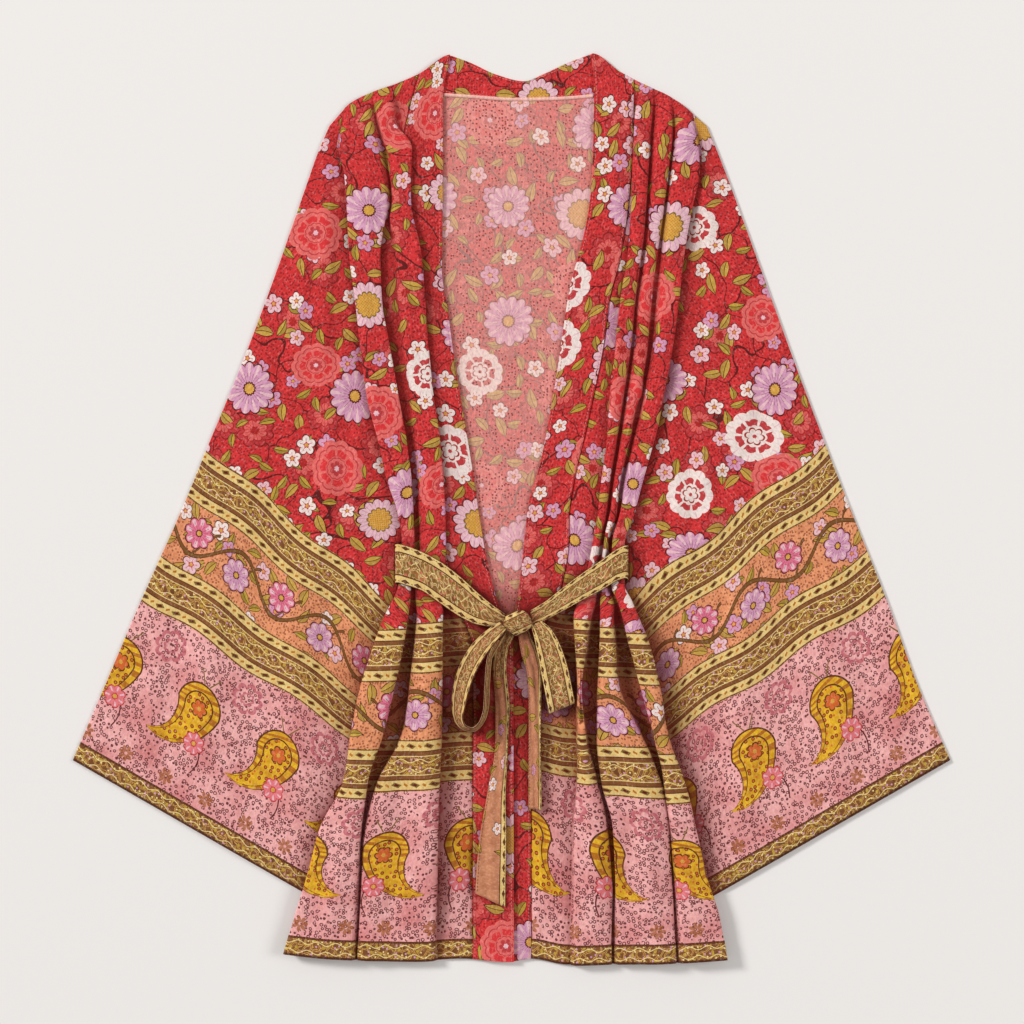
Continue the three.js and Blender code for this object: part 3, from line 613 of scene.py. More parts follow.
# %% [markdown]
# Small five-petal flowers, pointed leaves and thin stems fill the ground between the large flowers.
# The stems run along the edges between wide cells, bent by a slow noise so that they look drawn.

# %% Small flowers, leaves and stems


def small_flowers(x, y, colour, size, seed, share, reach, where):
    px, py, (c1, c2, c3), _ = cells(x, y, size, seed, 0.85)
    radius, angle = polar(px, py)
    place = petals(radius, angle, 5, reach * (0.8 + 0.4 * c3), 0.5, c2 * 6)
    tint = paint(CREAM, BLUSH, c1 > 0.35)
    tint = paint(tint, LILAC, c1 > 0.7)
    flower = rings(place, [(0.18, GOLD), (0.3, ROSE), (0.9, tint), (2, INK)])
    flower = paint(flower, ROSE, spokes(angle, 5, c2 * 6, 0.14) * between(place, 0.3, 0.62))
    return paint(colour, flower, (place < 1) * (c3 < share) * where)


def leaves(x, y, colour, size, seed, share, length, width, where):
    """Pointed leaves in two greens with a dark rib and outline, turned at random."""
    px, py, (c1, c2, c3), _ = cells(x, y, size, seed, 0.9)
    turn = c1 * FULL_TURN
    cosine, sine = calc("COSINE", turn), calc("SINE", turn)
    lx, ly = px * cosine + py * sine, py * cosine - px * sine
    scale = 0.75 + 0.4 * c3
    s = lx / (length * scale)
    ly = ly + s * s * 1.6
    shape = absolute(ly) / (width * scale) + s * s * (1 - 0.3 * s)
    leaf = paint(LEAF, LEAF_DARK, (ly > 0) * 0.5)
    leaf = paint(leaf, STRAW, (c3 > 0.6) * 0.4)
    leaf = paint(leaf, INK, (absolute(ly) < 0.3) + (shape > 0.86))
    return paint(colour, leaf, (shape < 1) * (c2 < share) * where)


def vines(x, y, colour, size, seed, where):
    wander = noise(x, y, 30, seed, 0.0) * 34
    edge = cells(x + wander, y - wander, size, seed, 1.0, "DISTANCE_TO_EDGE")
    return paint(colour, MAROON, (edge < 0.75) * where)


print("motifs ready")

# %% [markdown]
# The border repeats one trim twice: a butter-coloured chain, a brown band of scrolls, and a second
# chain. Between the two trims runs a peach stripe with a waving vine. Below them lies a pink field
# strewn with small rings and a row of gold paisley leaves, and the brown scrolls come again on the
# turned hem. To keep the sums few, the second trim and the hem are folded back on to the first.

# %% Trim stripes
HEM_BAND, FIELD_TOP = 20, 176
TRIM_TOP, VINE_TOP, BORDER_TOP = 226, 290, 340
VINE_LENGTH, LEAF_SPACING = 104, 92
LOWER_TRIM = (FIELD_TOP + TRIM_TOP) / 2  # the middle line of the lower trim
CHAIN_OFF = 18.75  # from there to the middle of a chain


def trim(u, v, colour, grain):
    """Two chains with a band of scrolls between them, twice, and the scrolls on the hem band."""
    upper = v > (TRIM_TOP + VINE_TOP) / 2
    on_hem = v < (HEM_BAND + 1)
    w = v - (BORDER_TOP - TRIM_TOP) * upper + (LOWER_TRIM - HEM_BAND / 2) * on_hem
    wander = grain * 9
    edge = cells(u + wander, w + wander, 7.0, 20.0, 1.0, "DISTANCE_TO_EDGE")
    band = paint(TRIM, TRIM_DARK, grain)
    band = paint(band, STRAW, between(edge, 0.35, 0.95))
    _, _, (c1, _, _), distance = cells(u, w, 4.6, 21.0, 1.0)
    band = paint(band, BUTTER, (distance < 0.85) * (c1 < 0.4))
    band = paint(band, LILAC, (distance < 1.0) * (c1 > 0.8))
    band = paint(band, LEAF, (distance < 1.5) * between(c1, 0.4, 0.6))
    out = absolute(w - LOWER_TRIM)
    wave = absolute(out - 4.6 - 1.7 * calc("SINE", u * (FULL_TURN / 19)))
    band = paint(band, BUTTER, wave < 0.42)
    band = paint(band, paint(TRIM, BROWN, grain), between(out, 9.0, 14.5))
    band = paint(band, BUTTER, between(out, 8.7, 9.4))
    d = absolute(out - CHAIN_OFF)
    ru = repeat(u + w * 0.7, 18)
    chain = paint(BUTTER, STRAW, grain * 0.8)
    chain = paint(chain, LEAF_DARK, absolute(ru) / 5.2 + d / 2.9 < 1)
    chain = paint(chain, MAROON, absolute(ru) / 3.0 + d / 1.5 < 1)
    chain = paint(chain, AMBER, absolute(absolute(ru) - 9) / 2.0 + d / 2.0 < 1)
    chain = paint(chain, BROWN, d > 4.6)
    on_chain = (d < 5.6) * (1 - on_hem)
    band = paint(band, chain, on_chain)
    inside = between(v, FIELD_TOP, BORDER_TOP) * (1 - between(v, TRIM_TOP, VINE_TOP))
    colour = paint(colour, band, inside)
    hem_band = paint(band, BROWN, (v < 2.4) + (v > HEM_BAND - 2.2))
    return paint(colour, hem_band, v < HEM_BAND)


print("trim stripes, mm above the hem:", FIELD_TOP, "to", BORDER_TOP)

# %% [markdown]
# The vine is a slow wave with a second, faster one for its curls, and a flower sits in each bend.
# All of it is worked out once and repeats along the stripe.

# %% Waving vine


def vine_wave(u, v, colour):
    """The waving stem of the peach stripe, with a flower in each bend and curls off the stem."""
    inside = between(v, TRIM_TOP, VINE_TOP)
    middle = (TRIM_TOP + VINE_TOP) / 2
    turn = u * (FULL_TURN / VINE_LENGTH)
    b = v - middle
    stem = absolute(b - 15 * calc("SINE", turn))
    curl = absolute(b - 16 * calc("SINE", turn * 2 + 1.1)) + (calc("SINE", turn * 2 + 2.4) > 0.3) * 50
    stem = calc("MINIMUM", stem, curl + 0.6)
    colour = paint(colour, BROWN, (stem < 2.4) * inside)
    colour = paint(colour, STEM, (stem < 1.5) * inside)
    ru = repeat(u - VINE_LENGTH / 4, VINE_LENGTH / 2)
    side = calc("SIGN", calc("SINE", turn))
    radius, angle = polar(ru, b + side * 8)
    place = petals(radius, angle, 8, 16.5, 0.26, 0.4)
    tint = paint(VINE_ROSE, LILAC, side > 0)
    flower = rings(place, [(0.16, GOLD), (0.24, MARK), (0.92, tint), (2, MARK)])
    flower = paint(flower, BLUSH, spokes(angle, 8, 0.4, 0.6) * between(place, 0.5, 0.86))
    flower = paint(flower, MARK, spokes(angle, 16, 0.4, 0.14) * between(place, 0.24, 0.7))
    return paint(colour, flower, (place < 1) * inside)


print("vine repeats every", VINE_LENGTH, "mm")

# %% [markdown]
# A paisley is a round end with a tail along an arc. Its width shrinks along the arc to nothing, so one
# number tells how far inside it a point lies, and its outline, rim and core are bands of that number.

# %% Pink field with paisley leaves
LEAF_HIGH, LEAF_OFF = 112, -4  # where the round end sits in its repeat
LEAF_ROUND, LEAF_ARC, LEAF_SWING = 25, 64, 1.12  # its radius, the tail's arc, and how far that swings


def paisley_field(u, v, colour, grain):
    """Rings and dots on the pink ground, faint lace rounds, small sprays, gold paisley leaves."""
    inside = between(v, HEM_BAND, FIELD_TOP)
    thick = noise(u, v, 17, 2.5, 1.0)
    _, _, (c1, c2, c3), distance = cells(u, v, 4.4, 11.0, 1.0)
    mark = absolute(distance - 1.05 - 0.5 * c3) < 0.5
    mark = mark * (c2 < 0.6) + (distance < (0.8 + 0.7 * c3)) * (c2 > 0.6)
    colour = paint(colour, MARK, mark * (c1 < thick * 1.75) * inside * 0.92)
    ru = repeat(u + LEAF_SPACING / 2, LEAF_SPACING)
    radius, angle = polar(ru, v - 150)
    lace = petals(radius, angle, 8, 18, 0.3, 0.0)
    faint = between(lace, 0.72, 0.95) + between(lace, 0.3, 0.45)
    colour = paint(colour, RING_ROSE, faint * inside * 0.8)
    ru = repeat(u + LEAF_SPACING / 2, LEAF_SPACING / 2)
    radius, angle = polar(ru, v - 33)
    spray = petals(radius, angle, 7, 9, 0.75, 0.0)
    colour = paint(colour, TAN_SPRAY, between(spray, 0.2, 0.9) * inside * 0.8)
    # the paisley: a round end up, and a tail that runs down along an arc to a curled tip
    a = repeat(u, LEAF_SPACING)
    radius, angle = polar(a - (LEAF_ARC + LEAF_OFF), v - LEAF_HIGH)
    swing = calc("WRAP", angle, FULL_TURN, 0.0) - 3.142
    way = limit(swing / LEAF_SWING)
    width = LEAF_ROUND * calc("POWER", 1.001 - way, 0.95)
    arc = LEAF_ARC - 16 * way * way * way
    round_end, _ = polar(a - LEAF_OFF, v - LEAF_HIGH)
    place = choose(absolute(radius - arc) / width, round_end / LEAF_ROUND, swing < 0)
    place = place + (swing > LEAF_SWING) * 9
    gold = paint(SUN, AMBER, (grain - 0.25) * 1.3)
    _, _, (c1, _, _), distance = cells(u, v, 6.4, 61.0, 0.6)
    core = place < 0.6
    gold = paint(gold, BROWN, between(distance, 1.1, 1.9) * (c1 < 0.7) * core)
    gold = paint(gold, ORANGE, (distance < 1.1) * core)
    gold = paint(gold, BROWN, between(place, 0.6, 0.66) + (place > 0.93))
    scallop = calc("SINE", swing * 34 + 26 * (swing < 0) * angle)
    gold = paint(gold, AMBER, between(place, 0.66, 0.93) * (scallop > 0.25))
    radius, angle = polar(a + 5, v - LEAF_HIGH)
    eye = petals(radius, angle, 6, 9.5, 0.4, 0.3)
    gold = paint(gold, rings(eye, [(0.25, GOLD), (0.85, ORANGE), (2, BROWN)]), eye < 1)
    tendril = absolute(absolute(a - LEAF_OFF) - 3 - (v - 137) * 0.6) < 0.7
    colour = paint(colour, LEAF_DARK, tendril * between(v, 137, 150) * inside)
    tendril = absolute(a + 24 - (v - 62) * (v - 62) * 0.02) < 0.7
    colour = paint(colour, MARK, tendril * between(v, 50, 84) * inside)
    colour = paint(colour, gold, (place < 1) * inside)
    radius, angle = polar(a + 13, v - 78)
    bloom = petals(radius, angle, 7, 12, 0.25, 0.7)
    flower = rings(bloom, [(0.2, GOLD), (0.3, ROSE), (0.9, BLOOM_ROSE), (2, ROSE)])
    flower = paint(flower, BLUSH, spokes(angle, 7, 0.7, 0.35) * between(bloom, 0.45, 0.85))
    return paint(colour, flower, (bloom < 1) * inside)


print("paisley leaves, mm apart:", LEAF_SPACING)

# %% [markdown]
# ## The whole cloth
# The print is laid down as on a table: ground first, then stems, leaves and flowers, then the border
# over them. One function makes it for every piece, so that all of them are cut from one cloth.

# %% Ground and border together


def printed(u, v, border=True):
    """Red ground with flowers; with the border below it where the piece has one."""
    grain = noise(u, v, 11, 3.0, 3.0)
    ground = paint(RED, RED_DARK, (grain - 0.3) * 1.1)
    flowery, in_red = 1.0, 1.0
    if border:
        in_red = v > BORDER_TOP
        in_vine = between(v, TRIM_TOP, VINE_TOP)
        flowery = calc("MAXIMUM", in_red, in_vine)
        ground = paint(ground, paint(PEACH, PEACH_DARK, (grain - 0.3) * 1.1), in_vine)
        clouds = noise(u, v, 46, 9.0, 1.0)
        pink = paint(PINK, PINK_DARK, grain - 0.25)
        pink = paint(pink, PINK_DARK, (clouds - 0.42) * 2.6)
        ground = paint(ground, pink, v < FIELD_TOP)
    _, _, (c1, _, _), distance = cells(u, v, 2.7, 1.0, 1.0)
    specks = (distance < 0.95) * (c1 < 0.62)
    ground = paint(ground, MAROON, specks * flowery * 0.62)
    ground = vines(u, v, ground, 44, 4.0, in_red)
    ground = ghost_flowers(u, v, ground, 57, 16.0, in_red)
    ground = leaves(u, v, ground, 20, 5.0, 0.66, 9.8, 4.6, flowery)
    ground = small_flowers(u, v, ground, 35, 6.0, 0.8, 9.8, flowery)
    ground = large_flowers(u, v, ground, 84, 7.0, in_red)
    if border:
        ground = vine_wave(u, v, ground)
        ground = paisley_field(u, v, ground, grain)
        ground = trim(u, v, ground, grain)
    return ground


def plain_floral(u, v):
    return printed(u, v, border=False)


print("ground and border ready")

# %% [markdown]
# The belt is cut from another part of the cloth: a scrolled band between two pale chains. Its hanging
# ends show the peach stripe. The wrong side is the same print seen through the cloth, so it is the
# print itself mixed with a pale tone.

# %% Belt print and wrong side
TAIL_START = 2150


def belt_print(u, v):
    """v runs across the belt, from -16 to 16. Butter-coloured edges beside a scrolled middle."""
    grain = noise(u, v, 9, 3.0, 2.0)
    edge = cells(u + grain * 9, v + grain * 9, 6.0, 20.0, 1.0, "DISTANCE_TO_EDGE")
    colour = paint(BELT_TAN, BELT_DARK, (grain - 0.25) * 1.4)
    colour = paint(colour, BUTTER, between(edge, 0.3, 0.8) * 0.8)
    wave = absolute(v - 3.5 * calc("SINE", u * 0.3))
    colour = paint(colour, BUTTER, (wave < 0.45) * 0.9)
    _, _, (c1, _, _), distance = cells(u, v, 4.0, 21.0, 1.0)
    colour = paint(colour, LEAF_DARK, (distance < 1.2) * (c1 < 0.5))
    colour = paint(colour, SALMON, (distance < 0.9) * (c1 > 0.85))
    peach = paint(TAIL_PEACH, TAIL_DARK, (grain - 0.2) * 1.2)
    peach = leaves(u, v, peach, 24, 71.0, 0.75, 10.0, 4.2, 1.0)
    peach = small_flowers(u, v, peach, 40, 72.0, 0.6, 8.0, 1.0)
    colour = paint(colour, peach, (u > TAIL_START) * (v < 11))
    d = absolute(v)
    side = paint(BUTTER, STRAW, grain * 0.8)
    side = paint(side, BROWN, absolute(repeat(u, 13)) / 4.2 + absolute(d - 13) / 1.7 < 1)
    reverse = (u > TAIL_START) * (v < 0)
    colour = paint(colour, side, (d > 9.4) * (1 - reverse))
    return paint(colour, BROWN, (between(d, 8.4, 9.5) + (d > 15.0)) * (1 - reverse))


def wrong_side(u, v):
    """The print as it strikes through to the inside of the cloth: the same motifs, faded. Dark
    specks lie on its ground alone, which is far redder than it is green."""
    colour = paint(printed(u, v), FADED, 0.38)
    red, green, _ = split(colour, "ShaderNodeSeparateColor")
    _, _, (c1, _, _), distance = cells(u, v, 3.2, 51.0, 1.0)
    return paint(colour, MARK, (distance < 0.85) * (c1 < 0.5) * (red - green > 0.45) * 0.8)


print("prints ready")

# %% [markdown]
# ## Cloth materials
# A soft matt cloth with a crinkled, open weave. The dye is a little uneven, and the surface has a
# faint fuzz that catches light at a low angle. Threads as geometry would be millions of faces, so two
# crossed waves and a noise in the bump stand for the weave, and sheen for the fuzz.

# %% Cloth materials


def cloth_material(name, design, fade=0.0):
    material, shader = begin_material(name)
    u, v = [share * 1000.0 for share in read_map("flat_cloth")]
    colour = design(u, v)
    if fade:
        colour = paint(colour, FADED, fade)
    crinkle = noise(u, v * 0.6, 2.2, 1.0, 2.0)
    colour = paint(colour, MAROON, (crinkle - 0.38) * 0.55)
    colour = paint(colour, CREAM, (0.42 - crinkle) * 0.7)
    # the painted fold shade darkens the colour toward SHADE, and belongs to the side that looks up
    upward = limit(split(Val(new_node("ShaderNodeNewGeometry").outputs["Normal"]))[2] * 3.0 + 1.0)
    feed(paint(colour, SHADE, read_map("fold_shade")[0] * upward), shader.inputs["Base Color"])
    shader.inputs["Roughness"].default_value = 0.85
    shader.inputs["Specular IOR Level"].default_value = 0.2
    shader.inputs["Sheen Weight"].default_value = 0.06
    shader.inputs["Sheen Roughness"].default_value = 0.5
    bump = new_node("ShaderNodeBump")
    bump.inputs["Strength"].default_value = 0.6
    bump.inputs["Distance"].default_value = 0.0009
    feed(calc("SINE", u * 6.0) * calc("SINE", v * 6.0) * 0.15 + crinkle, bump.inputs["Height"])
    feed(Val(bump.outputs[0]), shader.inputs["Normal"])
    return material


PRINTED = cloth_material("printed_cloth", printed)
PRINTED_BACK = cloth_material("printed_cloth_wrong_side", wrong_side)
BAND_PRINT = cloth_material("band_cloth", plain_floral)
BELT_PRINT = cloth_material("belt_cloth", belt_print)
BELT_BACK = cloth_material("belt_cloth_wrong_side", belt_print, 0.35)
RIDGE = cloth_material("seam_ridge", wrong_side, 0.75)
print("materials:", len(bpy.data.materials))

# %% [markdown]
# ## The fronts
# A level of a front is a line of points: the seam tucked in behind the side crest, the side crest,
# then each long fold as a small Z, with a dip beside it, down to the seam of the band. The folds could
# be sculpted, but real pleats keep their width of cloth, which a table of widths does by itself.

# %% A level across a front
SEAM_TUCK, SIDE_TUCK, PLEAT_ROOM, SEAM_GAP = 3, 7, 2, 0.3
OPEN_STEP = ((-2.4, 1), (-1.2, 0.85), (0, 0.62), (1.2, 0.38), (2.4, 0.15), (3.6, 0))


def mix(a, b, k):
    return a + (b - a) * k


def pleat(crest, high, tuck, fold):
    r = high / 4
    closed = ((-r, high), (0, high - r), (-r, high - 2 * r), (-tuck + r, 2 * r), (-tuck, r), (-tuck + r, 0))
    return [
        (crest + mix(o[0], c[0], fold), mix(o[1] * high, c[1], fold))
        for o, c in zip(OPEN_STEP, closed)
    ]


def seam_inset(fold):
    return mix(-1, SEAM_TUCK, fold)


def seam_out(table, y):
    """How far out the side seam lies, a little inside the side crest that covers it."""
    return float(table["side"](y)) - float(seam_inset(table["side_fold"](y)))


def front_section(table, y):
    """Points (distance, height) of one level, outward from the side to the band."""
    get = {k: float(f(y)) for k, f in table.items()}
    get["dip"] *= 1 + 1.3 * float(soft(-84, -110, y))
    names = ["outer", "middle", "inner"] if "middle" in table else ["outer", "inner"]
    high = get["rise"] * (1 + 0.25 * float(soft(-84, -120, y)))
    side, fold = -get["side"], get["side_fold"]
    shift = mix(4, 0, fold)
    points = [(side + seam_inset(fold), 0.0)]
    points += [(side - dx + shift, z) for dx, z in reversed(pleat(0, high, SIDE_TUCK, fold))]
    start, reach = points[-1][0], max(p[0] for p in points)
    for name in names:
        crest, fold = -get[name], get[name + "_fold"]
        last = name == "inner"
        seam = -get["seam"]
        wanted = max(7, crest - seam + 7) if last else min(7, high * 0.9)
        tuck = max(3, min(wanted, crest - reach - PLEAT_ROOM))
        zed = pleat(crest, high, tuck, fold)
        full = high * 1.06
        points += [(mix(start, zed[0][0], 0.35), full), (mix(start, zed[0][0], 0.7), full)]
        points += zed
        if last:
            seam = max(seam, zed[5][0] + 2)
            points += [(mix(zed[5][0], seam, 0.5), 0.0), (seam - SEAM_GAP, 0.0)]
        else:
            end = max(crest + get["dip"] * fold, zed[5][0] + 1.5)
            climb = mix(1.5, 3.5, fold)
            points += [(end, 0.02 * high), (end + climb, 0.75 * high)]
            start = reach = end + climb
    return np.array(points)


print("points in a level:", len(front_section(left, 100)), "left,", len(front_section(right, 100)), "right")

# %% [markdown]
# On the laid robe the border hangs lower toward the sides, and soft creases run down from the
# shoulders and fan out below the belt. Displacement from a noise would put creases anywhere; a list
# puts each where cloth would really pull. A crease is a row: from where to where, how wide, how high.

# %% Droop of the border and listed creases
DROOP = pairs([(-230, 14), (-160, 15), (-100, 4), (-60, -2), (-20, -12), (20, -14), (60, -10), (90, 0),
               (120, 8), (170, 17), (220, 15)])


def height_above_hem(x, y, lobe_x):
    """Where a point of the skirt is in the print: the stripes hang lower at the sides."""
    rise = y - hem(x)
    return rise + DROOP(lobe_x) * soft(20, 170, rise)


def crease(net, x0, y0, x1, y1, wide, high):
    """A soft ridge (high above 0) or trough from one place to another, faded at its ends."""
    dx, dy = x1 - x0, y1 - y0
    length = math.hypot(dx, dy)
    t = ((net[..., 0] - x0) * dx + (net[..., 1] - y0) * dy) / length**2
    off = ((net[..., 0] - x0) * dy - (net[..., 1] - y0) * dx) / length
    fade = soft(-0.02, 0.25, t) * soft(1.02, 0.75, t)
    return high * fade * np.exp(-((off / wide) ** 2))


def ripple(net, size, seed):
    """Faint unevenness of soft cloth, the sum of a few slanted waves."""
    rng = np.random.default_rng(int(seed * 10))
    total = np.zeros(net.shape[:2])
    for _ in range(9):
        angle, phase, length = rng.uniform(0, 6.28), rng.uniform(0, 6.28), rng.uniform(28, 90)
        way = net[..., 0] * math.cos(angle) + net[..., 1] * math.sin(angle)
        total += np.sin(way * FULL_TURN / length + phase)
    return total / 9 * size


print("stripes hang", float(DROOP(-160)), "mm lower at the left side")

# %% [markdown]
# A front is its levels laid one below the other, made finer between their points. The stripes of the
# print step down from fold to fold, as each fold hides a strip of the border.

# %% Front panels
FRONT_LEVELS = np.concatenate([
    np.linspace(TOP_Y, 0, 110), np.linspace(-3, -150, 60), np.linspace(-153.5, HEM_Y, 96),
])
# the first 12 points of a level make the side crest, and each fold after it has 10
NET_STEPS, CREST_POINTS, FOLD_POINTS = 3, 12, 10
EVENING_ROUNDS = 70


def front_panel(name, table, sign, creases, seed):
    lines = np.array([front_section(table, y) for y in FRONT_LEVELS])
    fine = finer(lines, NET_STEPS)
    x = sign * -fine[..., 0]
    level = np.repeat(FRONT_LEVELS[:, None], fine.shape[1], axis=1)
    y = bend(x, level)
    net = np.stack([x, y, fine[..., 1] + front_base(x, y)], axis=2)
    # flat cloth: u grows outward from the band seam, evened out where pleats open
    u = along(net)
    u = sign * (u[:, -1:] - u)
    for _ in range(EVENING_ROUNDS):
        u[1:-1] = (u[:-2] + 2 * u[1:-1] + u[2:]) / 4
    # each fold keeps its stripes nearly level and steps down to the next behind its crest
    ends = [0] + list(range(CREST_POINTS * NET_STEPS, fine.shape[1], FOLD_POINTS * NET_STEPS))
    mids = np.stack([x[:, a:b].mean(axis=1) for a, b in zip(ends, ends[1:] + [fine.shape[1]])], axis=1)
    lobe = np.clip(np.searchsorted(ends, np.arange(fine.shape[1]), "right") - 1, 0, len(ends) - 1)
    hold = 0.75 * soft(-40, -90, y) * soft(-330, -270, y)
    v = height_above_hem(x, y, mix(x, mids[:, lobe], hold))
    n = normals_of(net)
    n *= np.sign(np.mean(n[..., 2]))
    lift = ripple(net, 0.5, seed)
    for row in creases:
        lift = lift + crease(net, *row)
    lift *= soft(HEM_Y - 10, HEM_Y + 40, y) * 0.7 + 0.3
    lift += 0.5 * soft(21.5, 18.5, y - hem(x))
    net = net + n * lift[..., None]
    net[..., 2] = np.maximum(net[..., 2], front_base(x, y) - 0.2)
    return sheet_piece(name, net, u, v, [PRINTED, PRINTED_BACK], 0.7)


LEFT_CREASES = [
    (-124, 416, -121, 390, 6, 2.2), (-121, 390, -124, 340, 6, -1.6),
    (-150, 395, -140, 250, 8, 2.4), (-95, 330, -90, 180, 6, 2.0), (-152, 250, -132, 70, 5, 1.8),
    (-112, 60, -108, -20, 4, 1.6), (-85, 100, -80, -30, 5, 1.8), (-106, 250, -100, 120, 5, 2.0),
    (-86, -110, -84, -440, 13, 5.0), (-112, -230, -124, -440, 9, -2.4), (-150, -250, -186, -440, 12, 3.0),
    (-55, -170, -56, -430, 6, 1.6), (-176, -330, -208, -440, 7, -1.8), (-70, -250, -68, -440, 5, -1.4),
]
RIGHT_CREASES = [
    (125, 128, 128, 109, 5, 1.6), (128, 109, 121, 77, 5, -1.4),
    (175, 390, 158, 240, 8, 2.4), (146, 300, 132, 120, 7, -1.6), (158, 220, 138, 60, 6, 2.2),
    (134, 380, 126, 250, 6, 2.0), (112, 210, 98, 60, 5, 1.8),
    (78, -110, 86, -440, 13, 5.0), (48, -150, 44, -440, 8, -2.4), (128, -230, 138, -440, 10, 3.0),
    (150, -250, 186, -440, 10, 2.6), (112, -300, 112, -440, 6, -2.0), (30, -180, 28, -440, 5, 1.6),
]
front_left = front_panel("front_left_cloth", left, -1, LEFT_CREASES, 3)
front_right = front_panel("front_right_cloth", right, 1, RIGHT_CREASES, 5)

# %% [markdown]
# ## The back
# One panel from the neck seam to the hem. Between the fronts its wrong side shows, paler than the
# print. It rides over the belt at the waist and over the sleeves under the skirt. It could be cut out
# of a flat grid; here each level is spread evenly between its two side seams, so that the panel's own
# edges are the seams and nothing is left to trim.

# %% Back panel
BACK_LEVELS = np.linspace(TOP_Y, HEM_Y, 230)
shares = np.linspace(0, 1, 130)
left_side = np.array([-seam_out(left, y) for y in BACK_LEVELS])
right_side = np.array([seam_out(right, y) for y in BACK_LEVELS])
back_x = left_side[:, None] + (right_side - left_side)[:, None] * shares[None]
back_y = np.repeat(BACK_LEVELS[:, None], len(shares), axis=1)
in_neck = soft(-86, -70, back_x) * soft(104, 89, back_x)
drop = shoulder(back_x) - neck_seam(back_x) + SEAM_GAP
back_y = bend(back_x, back_y) - in_neck * drop * soft(210, TOP_Y, back_y)
back_net = np.stack([back_x, back_y, back_middle(back_x, back_y)], axis=2)
seen = soft(-90, -60, back_x) * soft(95, 60, back_x)
back_net[..., 2] += np.maximum(0, ripple(back_net, 0.7, 8)) * seen * 0.6
back = sheet_piece("back_cloth", back_net, back_x, back_y - hem(back_x), [PRINTED_BACK, PRINTED], 0.7)

# %% [markdown]
# ## The sleeves
# Each sleeve is one piece folded along its outer edge. It is sewn to the body down to the waist and
# runs on under the skirt to the corner of the cuff. The stripes follow the cuff.

# %% Sleeve lines
LEFT_FOLD = [(384, 181), (360, 191.5), (309, 209.5), (229, 237.5), (149, 267.5), (69, 300.5),
             (-11, 333.5), (-91, 369.5), (-171, 403.5), (-250, 438)]
RIGHT_FOLD = [(384, 194), (349, 208.5), (309, 223.5), (229, 252.5), (149, 281.5), (69, 311.5),
              (-11, 342.5), (-91, 374.5), (-171, 403.5), (-251, 438)]
# level at the inner seam, level at the outer fold, swell of the front layer
SLEEVE_LINES = [
    (385, 383, 0), (353, 358, 0.2), (325, 330, 0.6), (290, 303, 1.0), (249, 275, 1.4), (210, 250, 1.8),
    (164, 222, 2.2), (114, 192, 2.4), (69, 165, 2.4), (29, 140, 2.4), (-6, 118, 2.2), (-28, 102, 2.0),
    (-33.5, 98, 2.0), (-37, 96, 2.0), (-55, 86, 2.0), (-73, 75, 2.2), (-77, 72.5, 2.2), (-92, 64, 2.2),
    (-97, 61, 2.2), (-158, 0, 2.4), (-250, -94, 2.2), (-335, -178, 1.8), (-413, -251, 1.0),
]


def sleeve_ends(panel, fold, sign):
    rows = []
    for seam_y, fold_y, _ in SLEEVE_LINES:
        if seam_y > -33.5:
            in_x = seam_out(panel, seam_y) + SEAM_GAP
            in_y = float(bend(sign * in_x, seam_y))
        else:
            in_x, in_y = float(sleeve_inner(seam_y)), seam_y
        rows.append((sign * in_x, in_y, sign * float(fold(fold_y)), fold_y))
    return np.array(rows)


print("left cuff, mm:", round(math.hypot(438 - 155.5, 413 - 251)))

# %% [markdown]
# The net of a sleeve runs from the seam along the far layer to the outer fold, round it, and back over
# the near layer. Two loose sheets could be laid on each other, but a real sleeve has no seam there.

# %% Sleeves
UNDER_POINTS, TURN_POINTS, OVER_POINTS = 40, 7, 100
NEAR_LAYER = 60  # a column well inside the near layer


